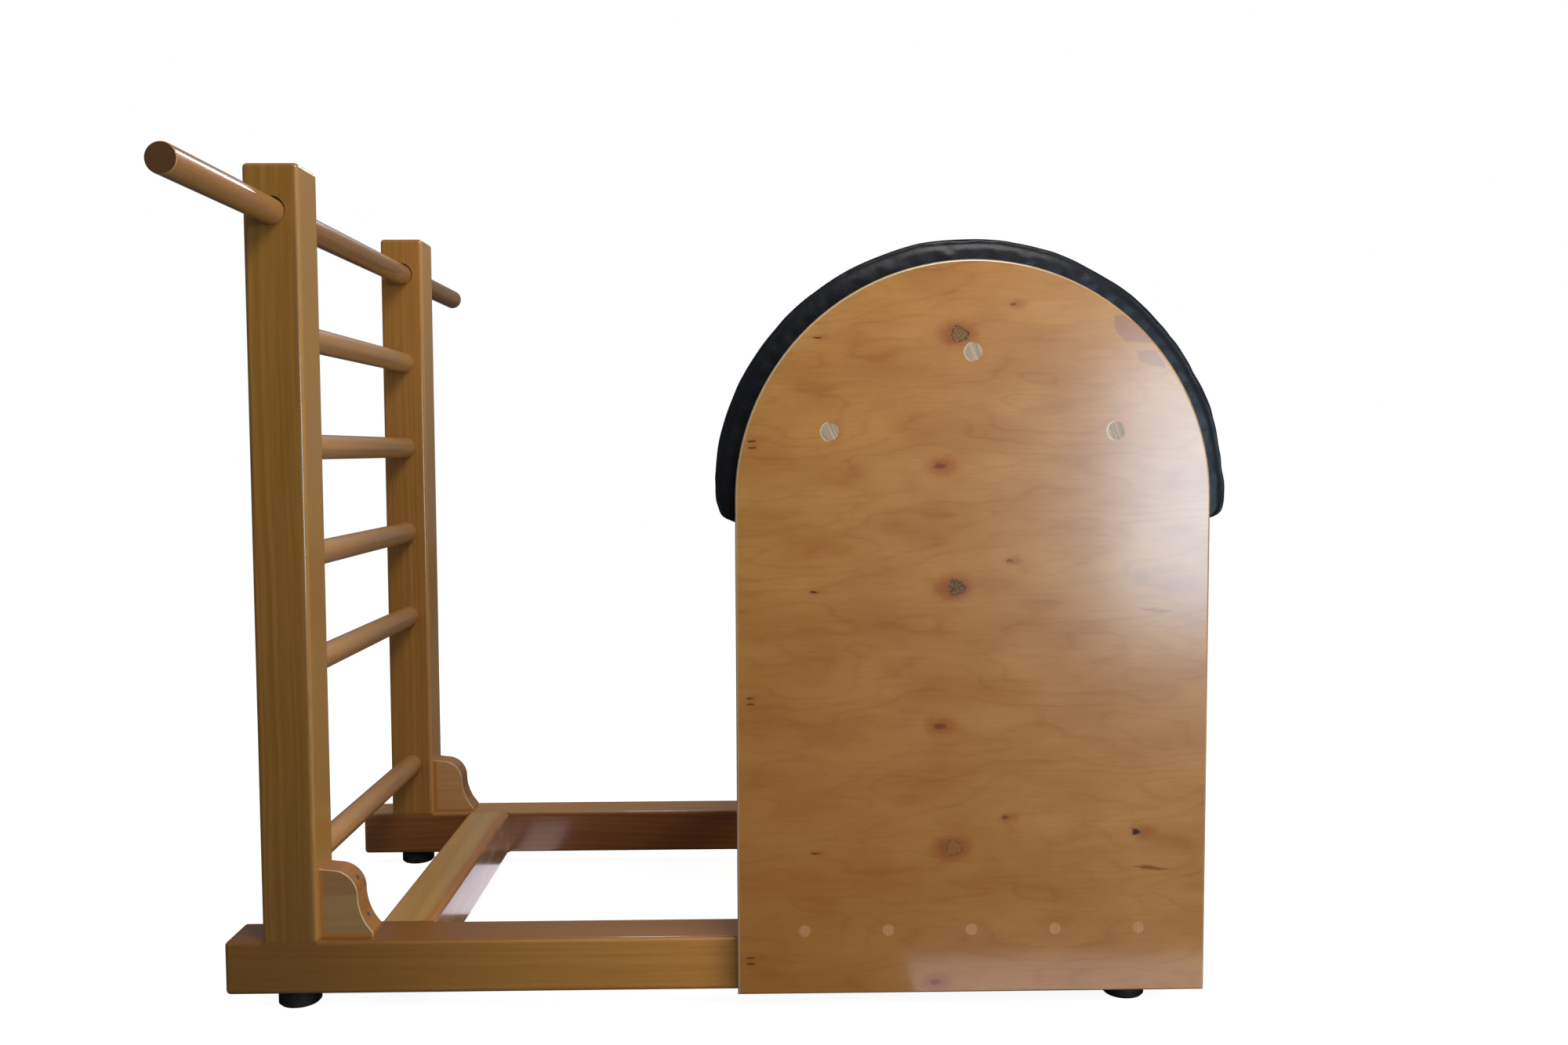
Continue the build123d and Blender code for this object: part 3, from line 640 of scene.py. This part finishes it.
def panel_veneer(name, flip, lift, patches):
    """A plywood side: veneer on its faces, and its plies on its edges.

    The far panel is cut from the same log, turned end for end (flip) and begun at another height
    (lift). patches are the outlines of the mauve spots.
    """
    material, tree, shader, place, normal = new_material(name)
    x, y, z = split(tree, place)
    if flip:
        x = maths(tree, "SUBTRACT", 2 * ARCH_X, x)
    on_face = joined(tree, x, 0.0, z)
    on_log = joined(tree, x, 0.0, maths(tree, "ADD", z, lift))
    sheet = scaled(tree, on_log, (1, 0, 1), (0, 0, -PEEL_START))
    veneer = use(tree, PEELED_VENEER, vector=sheet, pale=VENEER_PALE, deep=VENEER_DEEP)
    # Painted shade: warmer and darker low on the panel and towards its left
    warm = maths(tree, "MULTIPLY", smooth_range(tree, z, 0.80, 0.12, 0.0, 0.45),
                 smooth_range(tree, x, 0.05, 0.50, 1.0, 0.15))
    colour = mix_colours(tree, warm, veneer["Color"], VENEER_PAINTED_SHADE)
    for values in knot_list():
        colour = use(tree, KNOT, color=colour, vector=on_log, **values)["Color"]
    ragged = add(tree, "ShaderNodeTexNoise", {"Vector": place, "Scale": 150.0}).outputs["Color"]
    torn = vector_maths(tree, on_face, scaled(tree, ragged, (0.003, 0, 0.003), (-0.0015, 0, -0.0015)))
    for corners in patches:
        mask = maths(tree, "MULTIPLY", patch_mask(tree, torn, corners), 0.6)
        colour = mix_colours(tree, mask, colour, MAUVE)
    for centre in PLUG_CENTRES:
        colour = plug_surround(tree, on_face, colour, centre)
    # A pale line along the outline, clearest at the left: partly pale wood where the varnish is thin on
    # the worn arris, partly a painted highlight on the rounded edge
    above = maths(tree, "MAXIMUM", maths(tree, "SUBTRACT", z, ARCH_Z), 0.0)
    out_x = maths(tree, "SUBTRACT", x, ARCH_X)
    reach = length_of(tree, joined(tree, out_x, 0.0, above))
    rim = smooth_range(tree, reach, ARCH_R - 0.0034, ARCH_R - 0.0016)
    share = maths(tree, "MULTIPLY", rim, smooth_range(tree, out_x, -0.1, 0.2, 0.8, 0.25))
    colour = mix_colours(tree, share, colour, VENEER_OUTLINE_WEAR_AND_HIGHLIGHT)
    # Plies
    edge = smooth_range(tree, facing(tree, normal)[1], 0.9, 0.6)
    layer = maths(tree, "DIVIDE", y, 2 * PLY)
    stripe = smooth_range(tree, maths(tree, "PINGPONG", layer, 0.5), 0.2, 0.3)
    grainy = noise(tree, scaled(tree, place, (300, 900, 300)), detail=2.0)
    tone = maths(tree, "MULTIPLY_ADD", grainy, 0.4, maths(tree, "MULTIPLY", stripe, 0.8))
    colour = mix_colours(tree, edge, colour, mix_colours(tree, tone, PLY_PALE, PLY_DEEP))
    tree.links.new(colour, shader.inputs["Base Color"])
    varnished(tree, shader, place, veneer["Height"], 0.32, 0.06, 0.00008, 0.18)
    return material


def brace_wood(name, sign, pale, deep):
    """A brace with band-sawn edges, where the varnish lies thicker.

    sign is the side in Y. The near brace has flat faces in two tones.
    """
    material, tree, shader, place, normal = new_material(name)
    x, y, z = split(tree, place)
    across = maths(tree, "SUBTRACT", y, sign * 0.2)
    grain = use(tree, SAWN_GRAIN, vector=joined(tree, x, across, z), pale=pale, deep=deep,
                ring_width=0.006, figure=0.35)
    colour = grain["Color"]
    if sign < 0:
        upper = smooth_range(tree, z, BRACE_TONE_Z - 0.001, BRACE_TONE_Z + 0.001, 0.0, 0.65)
        colour = mix_colours(tree, upper, colour, BRACE_UPPER)
    sideways = facing(tree, normal)[1]
    sawn = smooth_range(tree, sideways, 0.35, 0.15, 0.0, 0.85)
    colour = mix_colours(tree, sawn, colour, BRACE_SAWN)
    foot = smooth_range(tree, z, RAIL_TOP + 0.004, RAIL_TOP + 0.001)
    root = smooth_range(tree, x, BRACE_START + 0.007, BRACE_START + 0.002)
    joint = maths(tree, "MULTIPLY", maths(tree, "MAXIMUM", foot, root), 0.75)
    colour = mix_colours(tree, joint, colour, JOINT_AND_STREAK_ORANGE)
    edge = use(tree, ROUNDED_EDGES, normal=normal)["Mask"]
    flat = smooth_range(tree, sideways, 0.35, 0.6)
    worn = maths(tree, "MULTIPLY", maths(tree, "MULTIPLY", edge, flat), 0.7)
    colour = mix_colours(tree, worn, colour, BRACE_WORN)
    tree.links.new(colour, shader.inputs["Base Color"])
    varnished(tree, shader, place, grain["Height"])
    return material


def plug_wood(name, pale, deep, slant):
    """A wooden plug with straight stripes, which slant by that much of x for each unit of z."""
    material, tree, shader, place, _ = new_material(name)
    x, y, z = split(tree, place)
    across = maths(tree, "MULTIPLY_ADD", z, slant, x)
    stripes = noise(tree, joined(tree, maths(tree, "MULTIPLY", across, 620.0), y,
                                 maths(tree, "MULTIPLY", z, 25.0)), detail=3.0)
    colour = mix_colours(tree, smooth_range(tree, stripes, 0.32, 0.66), pale, deep)
    tree.links.new(colour, shader.inputs["Base Color"])
    varnished(tree, shader, place, stripes, 0.4, 0.1, 0.0002, None)
    return material


def zinc_steel():
    """Zinc plated steel: bluish grey with cloudy spangle and fine turning marks."""
    material, tree, shader, place, _ = new_material("zinc_steel")
    spangle = noise(tree, place, 900.0, 2.0)
    colour = mix_colours(tree, spangle, ZINC_PALE, ZINC_DEEP)
    tree.links.new(colour, shader.inputs["Base Color"])
    shader.inputs["Metallic"].default_value = 1.0
    tree.links.new(smooth_range(tree, noise(tree, place, 200.0, 3.0), 0.3, 0.7, 0.28, 0.45),
                   shader.inputs["Roughness"])
    bump(tree, shader, noise(tree, place, 1800.0, 1.0), 0.00004)
    return material


def foot_rubber():
    """Matt black rubber with dust caught in its fine moulded texture."""
    material, tree, shader, place, _ = new_material("foot_rubber")
    dust = smooth_range(tree, noise(tree, place, 90.0, 4.0, 0.65), 0.45, 0.75, 0.0, 0.35)
    tree.links.new(mix_colours(tree, dust, RUBBER, RUBBER_DUST), shader.inputs["Base Color"])
    tree.links.new(smooth_range(tree, dust, 0.0, 0.35, 0.55, 0.85), shader.inputs["Roughness"])
    bump(tree, shader, noise(tree, place, 1500.0, 2.0), 0.00006)
    return material


def black_vinyl():
    """Black upholstery vinyl with a pebbled grain and a low sheen, rubbed smoother in places."""
    material, tree, shader, place, _ = new_material("black_vinyl")
    grain = use(tree, LEATHER_GRAIN, vector=place)
    rubbed = noise(tree, place, 9.0, 3.0)
    colour = mix_colours(tree, grain["Mask"], VINYL_CREASE, VINYL_TOP)
    tree.links.new(colour, shader.inputs["Base Color"])
    shader.inputs["Specular IOR Level"].default_value = 0.25
    tree.links.new(smooth_range(tree, rubbed, 0.3, 0.7, 0.42, 0.34), shader.inputs["Roughness"])
    bump(tree, shader, grain["Height"], 0.00018)
    return material


# Each side's colours, with painted light and shade: the far rail is a darker copy of the wood for
# painted shade, and the far post and brace are lighter copies for painted light. The upward faces
# and +X sides carry painted light, and the near rail and post darken towards their low ends as
# painted shade
SIDES = {
    "near": dict(rail=(RAIL_PALE, RAIL_DEEP), rail_top_painted_light=RAIL_TOP_PAINTED_SHADE, rail_shade_fade=0.75,
                 post=(POST_PALE, POST_DEEP), post_flank_painted_light=POST_FLANK_PAINTED_LIGHT, post_shade_fade=0.25,
                 brace=(BRACE_PALE, BRACE_DEEP)),
    "far": dict(rail=(FAR_RAIL_SHADED_PALE, FAR_RAIL_SHADED_DEEP), rail_top_painted_light=FAR_RAIL_TOP_PAINTED_LIGHT, rail_shade_fade=0,
                post=(FAR_POST_LIT_PALE, FAR_POST_LIT_DEEP), post_flank_painted_light=FAR_POST_FLANK_PAINTED_LIGHT, post_shade_fade=0,
                brace=(FAR_BRACE_LIT_PALE, FAR_BRACE_LIT_DEEP)),
}
for side, sign in (("near", -1), ("far", 1)):
    look = SIDES[side]
    rail = timber(f"rail_{side}", "x", (0, sign * 0.10, -0.12), *look["rail"],
                  shade_fade=look["rail_shade_fade"], top_painted_light=look["rail_top_painted_light"])
    post = timber(f"post_{side}", "z", (-0.40, sign * 0.22, 0), *look["post"],
                  shade_fade=look["post_shade_fade"], flank_painted_light=look["post_flank_painted_light"])
    dress(rail, f"rail_{side}")
    dress(post, f"post_{side}")
    dress(brace_wood(f"brace_{side}", sign, *look["brace"]), f"gusset_{side}")

# The cross members' +X sides carry a painted reflection
dress(timber("cross_timber", "y", (-0.3, 0, -0.2), CROSS_PALE, CROSS_DEEP, flank_painted_light=CROSS_FLANK_PAINTED_REFLECTION,
             streak_x=CROSS_EDGE),
      "cross_member_front", "cross_member_rear")
dress(timber("rung_dowel", "y", (-0.6, 0, 0.3), DOWEL_PALE, DOWEL_DEEP, 0.012, 0.3),
      "rung_1", "rung_2", "rung_3", "rung_4", "rung_5")
dress(timber("bar_dowel", "y", (-0.6, 0, 0.9), BAR_PALE, BAR_DEEP, 0.012, 0.3, sawn_end=0.85,
             film=0.07),
      "top_bar")
dress(panel_veneer("veneer_near", False, 0.0, MAUVE_PATCHES), "side_panel_near")
dress(panel_veneer("veneer_far", True, 0.05, ()), "side_panel_far")
dress(timber("inner_wood", "y", (0, 0, 0), PLAIN_PALE, PLAIN_DEEP, gloss=0.6, film=None),
      "stretcher_left", "stretcher_top", "stretcher_right", "frame_dowels")
dress(timber("inner_boards", "x", (0, 0, -0.1), PLAIN_PALE, PLAIN_DEEP, gloss=0.6, film=None),
      "runner_near", "runner_far", "tie_board_front", "tie_board_rear")
dress(timber("bent_ply", "y", (0.3, 0, 0.6), BENT_PLY_PALE, BENT_PLY_DEEP, gloss=0.55, film=None),
      "deck", "rim_ledger_near", "rim_ledger_far")
dress(plug_wood("plug_face", PLUG_PALE, PLUG_DEEP, 0.0), "panel_plugs")
dress(plug_wood("plug_end", END_PLUG_PALE, END_PLUG_DEEP, 0.4), "stretcher_plugs")
dress(zinc_steel(), "foot_screws", "gusset_screws", "panel_screws", "stretcher_bolts", "tie_screws")
dress(foot_rubber(), "foot_near_front", "foot_near_rear", "foot_far_front", "foot_far_rear")


# Barrel pad

PAD_SEAM = 0.035     # height of the edge seam above the deck
PAD_SEAM_DIP = 0.0025
SEAM_HALF = 0.0022   # half the width of the seam's dip
SHOULDER = 0.006     # radius of the cover's turn over the edge
WALL_IN = 0.004      # the walls start this far inside the pad's full width and swell outwards
TOE_TALL = {-1: 0.060, 1: 0.022}   # how far above the toe the pad starts to thin, left and right
TOE_LOSS = {-1: 0.024, 1: 0.030}   # how much it thins by
TOE_CLOSING = 0.86   # height of the last row before a toe closes, as a share
WALL_REACH = 0.0035  # how far the cover may swell sideways
COVER_REACH = 0.006  # how far it may swell in all
SWELL_FRAMES = 20
PAD_GRID = dict(stations=168, columns=53, wall_rows=9, turn_rows=5)


def pad_path(stations):
    """Points of the deck line and the way out from it: a straight tail, a half circle and a tail.

    s is the distance along the line. On the half circle the angle is pi less s over the radius.
    """
    arc = math.pi * DECK_R
    s = np.linspace(0, arc + 2 * PAD_TAIL, stations)
    angle = np.clip(math.pi - (s - PAD_TAIL) / DECK_R, 0, math.pi)
    out_x, out_z = np.cos(angle), np.sin(angle)
    drop = np.maximum(PAD_TAIL - s, 0) + np.maximum(s - PAD_TAIL - arc, 0)
    return s, ARCH_X + DECK_R * out_x, ARCH_Z + DECK_R * out_z - drop, out_x, out_z


def pad_loop(columns, wall_rows, turn_rows):
    """The pad's section as a closed loop: y, and height over the deck.

    Columns lie closer together near the edges: y runs as a mix of a straight and a sine ramp. The
    shoulder is a quarter circle, and the seam is a narrow dip drawn into the wall just below it.
    """
    half = PAD_HALF - WALL_IN
    t = np.linspace(-1, 1, columns)
    turn = np.linspace(0, math.pi / 2, turn_rows)[:-1]
    shoulder_y = half - SHOULDER + SHOULDER * np.cos(turn)
    shoulder_n = PAD_THICK - SHOULDER + SHOULDER * np.sin(turn)
    cover_y = (half - SHOULDER) * (0.2 * t + 0.8 * np.sin(math.pi / 2 * t))
    top_y = np.concatenate([shoulder_y, cover_y[::-1], -shoulder_y[::-1]])
    top_n = np.concatenate([shoulder_n, np.full(columns, PAD_THICK), shoulder_n[::-1]])
    wall_n = np.linspace(0, PAD_THICK - SHOULDER, wall_rows)[1:-1]
    wall_y = np.full(len(wall_n), half)
    y = np.concatenate([top_y[::-1], wall_y, top_y, -wall_y])
    n = np.concatenate([np.zeros(len(top_y)), wall_n, top_n, wall_n[::-1]])
    near_seam = np.exp(-(((n - PAD_SEAM) / SEAM_HALF) ** 2)) * (np.abs(y) > half - 2 * SHOULDER)
    y = y - np.sign(y) * PAD_SEAM_DIP * near_seam
    return y, n


def pad_lumps(s, y):
    """Slow hollows and swellings of foam under a hand-fitted cover: sums of sines of fixed phase."""
    waves = np.sin(2 * math.pi * s / 0.083 + 1.0) * np.cos(2 * math.pi * y / 0.31 + 0.4)
    waves = waves + 0.8 * np.sin(2 * math.pi * s / 0.137 + 2.2 + 3.0 * y)
    gathers = np.sin(2 * math.pi * s / 0.029 + 4.0 * np.sin(9.0 * s))
    gathers = gathers * np.exp(-(PAD_HALF - np.abs(y)) / 0.03)
    return 0.0007 * waves + 0.0005 * gathers


def pad_points(stations, loop_y, loop_n):
    """The grid of the pad: every station's point plus height times the way out.

    Near a toe the heights shrink by a quarter ellipse, and the last two stations close up.
    """
    s, deck_x, deck_z, out_x, out_z = pad_path(stations)
    length = s[-1]
    grid_s, grid_y = s[:, None], loop_y[None, :]
    height = loop_n[None, :] + pad_lumps(grid_s, grid_y) * (loop_n[None, :] / PAD_THICK) ** 2
    for sign, toe in ((-1, s), (1, length - s)):
        rise = np.clip(1 - toe / TOE_TALL[sign], 0, 1)
        loss = TOE_LOSS[sign] * (1 - np.sqrt(1 - rise ** 2))
        height = height * (1 - loss / PAD_THICK)[:, None]
    closing = np.ones(stations)
    closing[[0, 1, -2, -1]] = (0.0, TOE_CLOSING, TOE_CLOSING, 0.0)
    middle = 0.5 * height.max(axis=1)[:, None]
    height = middle + (height - middle) * closing[:, None]
    x = deck_x[:, None] + height * out_x[:, None]
    z = deck_z[:, None] + height * out_z[:, None]
    return np.stack([x, np.broadcast_to(grid_y, x.shape), z], axis=-1)


def pad_mesh(name, stations, columns, wall_rows, turn_rows):
    loop_y, loop_n = pad_loop(columns, wall_rows, turn_rows)
    points = pad_points(stations, loop_y, loop_n)
    round_count = len(loop_y)
    row = np.arange(stations - 1)[:, None] * round_count
    here = np.arange(round_count)[None, :]
    following = (here + 1) % round_count
    above = row + round_count
    quads = np.stack([row + here, row + following, above + following, above + here], -1)
    mesh = bpy.data.meshes.new(name)
    mesh.from_pydata(points.reshape(-1, 3).tolist(), [], quads.reshape(-1, 4).tolist())
    shape = bmesh.new()
    shape.from_mesh(mesh)
    bmesh.ops.remove_doubles(shape, verts=shape.verts, dist=0.0002)
    bmesh.ops.recalc_face_normals(shape, faces=shape.faces)
    shape.to_mesh(mesh)
    shape.free()
    mesh.shade_smooth()
    return mesh


def pad_heights(points):
    """Height of points over the deck: distance from the arch's axis, or sideways on the tails."""
    across = points[:, 0] - ARCH_X
    above = np.maximum(points[:, 2] - ARCH_Z, 0)
    return np.hypot(across, above) - DECK_R


def swell(piece):
    """Lets the cover swell by cloth simulation, then caps how far each point has moved."""
    mesh = piece.data
    count = len(mesh.vertices)
    start = np.empty(count * 3)
    mesh.vertices.foreach_get("co", start)
    start = start.reshape(-1, 3)
    height = pad_heights(start)
    half = PAD_HALF - WALL_IN
    on_deck = height < 0.001
    aside = np.abs(start[:, 1])
    on_seam = (aside < half - 0.6 * PAD_SEAM_DIP) & (aside > half - SHOULDER)
    on_seam &= np.abs(height - PAD_SEAM) < 0.003
    low = start[:, 2] < pad_low.z + 0.004
    held = np.where(on_deck | on_seam | low)[0]
    group = piece.vertex_groups.new(name="held")
    group.add(held.tolist(), 1.0, "REPLACE")
    cloth = piece.modifiers.new("cover", "CLOTH")
    cloth.settings.vertex_group_mass = "held"
    cloth.settings.use_pressure = True
    cloth.settings.uniform_pressure_force = 2.0
    cloth.settings.effector_weights.gravity = 0.0
    cloth.settings.shrink_min = -0.004
    cloth.settings.quality = 6
    cloth.settings.bending_stiffness = 0.8
    cloth.collision_settings.use_self_collision = False
    scene = bpy.context.scene
    for number in range(SWELL_FRAMES):
        scene.frame_set(number + 1)
    graph = bpy.context.evaluated_depsgraph_get()
    settled = piece.evaluated_get(graph).data
    end = np.empty(count * 3)
    settled.vertices.foreach_get("co", end)
    piece.modifiers.remove(cloth)
    scene.frame_set(1)
    moved = end.reshape(-1, 3) - start
    moved[:, 1] = np.clip(moved[:, 1], -WALL_REACH, WALL_REACH)
    size = np.linalg.norm(moved, axis=1, keepdims=True)
    moved *= np.minimum(1, COVER_REACH / np.maximum(size, 1e-9))
    mesh.vertices.foreach_set("co", (start + moved).astype(np.float32).ravel())
    mesh.update()
    piece.vertex_groups.clear()


def make_pad():
    piece = bpy.data.objects.new("pad_cover", pad_mesh("pad_cover", **PAD_GRID))
    bpy.context.scene.collection.objects.link(piece)
    swell(piece)
    smooth = piece.modifiers.new("smooth", "SUBSURF")
    smooth.levels = 1
    smooth.render_levels = 1
    piece.data.materials.append(black_vinyl())
    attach(piece, "barrel")
    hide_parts("barrel_pad")


make_pad()


# Stage, lamps and camera

LENS_FOCUS_PX = 1645.74  # focal length in pixels of the 2000 pixel wide picture
PICTURE_W = 2000
SENSOR_MM = 36.0
CAMERA_AT = (0.0491, -1.9640, 0.7206)
CAMERA_YAW = 0.0176
CAMERA_PITCH = -0.0563
CAMERA_ROLL = -0.0042


def aim_camera():
    """The camera's own axes: right, up and backwards, from yaw, pitch and roll in radians."""
    ahead = Vector((
        math.sin(CAMERA_YAW) * math.cos(CAMERA_PITCH),
        math.cos(CAMERA_YAW) * math.cos(CAMERA_PITCH),
        math.sin(CAMERA_PITCH),
    ))
    level = Vector((math.cos(CAMERA_YAW), -math.sin(CAMERA_YAW), 0))
    upright = level.cross(ahead)
    right = math.cos(CAMERA_ROLL) * level + math.sin(CAMERA_ROLL) * upright
    up = -math.sin(CAMERA_ROLL) * level + math.cos(CAMERA_ROLL) * upright
    return Matrix((right, up, -ahead)).transposed()


lens = bpy.data.cameras.new("camera")
lens.sensor_width = SENSOR_MM
lens.lens = LENS_FOCUS_PX / PICTURE_W * SENSOR_MM
camera = bpy.data.objects.new("camera", lens)
camera.matrix_world = Matrix.Translation(CAMERA_AT) @ aim_camera().to_4x4()
bpy.context.scene.collection.objects.link(camera)
bpy.context.scene.camera = camera


def area_lamp(name, at, towards, size, watts, colour=(1, 1, 1), glossy=True, diffuse=True):
    data = bpy.data.lights.new(name, "AREA")
    data.shape = "RECTANGLE"
    data.size, data.size_y = size
    data.energy = watts
    data.color = colour
    lamp = bpy.data.objects.new(name, data)
    back = Vector(at) - Vector(towards)
    lamp.matrix_world = Matrix.Translation(at) @ back.to_track_quat("Z", "Y").to_matrix().to_4x4()
    lamp.visible_camera = False
    lamp.visible_glossy = glossy
    lamp.visible_diffuse = diffuse
    bpy.context.scene.collection.objects.link(lamp)


GLINT_X = CROSS_EDGE + 0.035

# The lamps with diffuse=False only show as highlights, and those with glossy=False only light.
area_lamp("window_sheen", at=(1.78, -2.90, 0.61), towards=(1.78, 0, 0.61), size=(1.10, 0.90),
          watts=38, colour=(0.58, 0.80, 1.0), diffuse=False)
area_lamp("window_fill", at=(2.2, -1.6, 1.2), towards=(0.0, -0.3, 0.5), size=(1.0, 1.0),
          watts=34, glossy=False)
area_lamp("ceiling_lamp", at=(0.50, -1.30, 2.10), towards=(0.0, -0.34, 0.6), size=(0.80, 0.80),
          watts=23, colour=(1.0, 0.96, 0.90))
area_lamp("back_fill", at=(-0.8, 2.8, 1.8), towards=(0.0, 0.2, 0.5), size=(1.5, 1.0),
          watts=45, colour=(1.0, 0.98, 0.95), glossy=False)
area_lamp("floor_gleam", at=(0.50, -0.44, 0.003), towards=(0.50, -0.44, 1.0), size=(0.50, 0.15),
          watts=0.33, colour=(0.85, 0.88, 1.0), diffuse=False)
area_lamp("floor_glint", at=(GLINT_X, 0.13, 0.003), towards=(GLINT_X, 0.13, 1), size=(0.07, 0.24),
          watts=0.07, colour=(0.95, 0.90, 1.0), diffuse=False)
area_lamp("high_window", at=(-0.29, 1.20, 1.78), towards=(-0.56, -0.5, 1.02), size=(0.16, 0.30),
          watts=4, colour=(0.92, 0.90, 1.0), diffuse=False)


def light_world():
    """Dim even light from all round, and a white background for the camera.

    Mirrored and refracted rays don't see that white. They see a dim room, a little paler behind
    the object and to its right than on the side of the camera, so that the varnish shows its own
    colour as it does in the photo.
    """
    world = bpy.data.worlds.new("studio")
    bpy.context.scene.world = world
    world.use_nodes = True
    tree = world.node_tree
    shade = tree.nodes["Background"]
    way = add(tree, "ShaderNodeTexCoord").outputs["Generated"]
    x, y, z = split(tree, way)
    behind = maths(tree, "MULTIPLY_ADD", x, 0.45, maths(tree, "MULTIPLY_ADD", z, 0.35, y))
    backdrop = smooth_range(tree, behind, -0.2, 1.0, 0.04, 0.11)
    path = add(tree, "ShaderNodeLightPath").outputs
    mirrored = maths(tree, "MAXIMUM", path["Is Glossy Ray"], path["Is Transmission Ray"])
    level = maths(tree, "MAXIMUM", path["Is Camera Ray"], maths(tree, "MULTIPLY", mirrored, backdrop))
    shown = maths(tree, "MAXIMUM", path["Is Camera Ray"], mirrored)
    white = add(tree, "ShaderNodeCombineColor", {0: level, 1: level, 2: level}).outputs[0]
    tree.links.new(mix_colours(tree, shown, ROOM_LIGHT, white), shade.inputs["Color"])


light_world()


FLOOR_HALF = 8.0
FLOOR_LIFT = 0.93   # glow that brings the lit floor up to white for the camera


def white_floor():
    """A pale floor that the camera sees as white with the object's shadow, and mirrored rays as dim."""
    mesh = bpy.data.meshes.new("floor")
    corners = [(FLOOR_HALF * x, FLOOR_HALF * y, 0) for x, y in ((-1, -1), (1, -1), (1, 1), (-1, 1))]
    mesh.from_pydata(corners, [], [(0, 1, 2, 3)])
    floor = bpy.data.objects.new("floor", mesh)
    bpy.context.scene.collection.objects.link(floor)
    material, tree, shader, place, _ = new_material("floor")
    speckle = noise(tree, place, 40.0, 3.0)
    path = add(tree, "ShaderNodeLightPath").outputs
    mirrored = maths(tree, "MAXIMUM", path["Is Glossy Ray"], path["Is Transmission Ray"])
    pale = mix_colours(tree, speckle, FLOOR_DEEP, FLOOR_PALE)
    tree.links.new(mix_colours(tree, mirrored, pale, FLOOR_MIRRORED), shader.inputs["Base Color"])
    shader.inputs["Roughness"].default_value = 0.9
    shader.inputs["Specular IOR Level"].default_value = 0.0
    lift = maths(tree, "MULTIPLY", path["Is Camera Ray"], FLOOR_LIFT)
    glow = add(tree, "ShaderNodeEmission", {"Color": (1, 1, 1, 1), "Strength": lift})
    both = add(tree, "ShaderNodeAddShader", {0: shader.outputs[0], 1: glow.outputs[0]})
    tree.links.new(both.outputs[0], tree.nodes["Material Output"].inputs["Surface"])
    mesh.materials.append(material)


white_floor()

bpy.context.scene.view_settings.view_transform = "Standard"
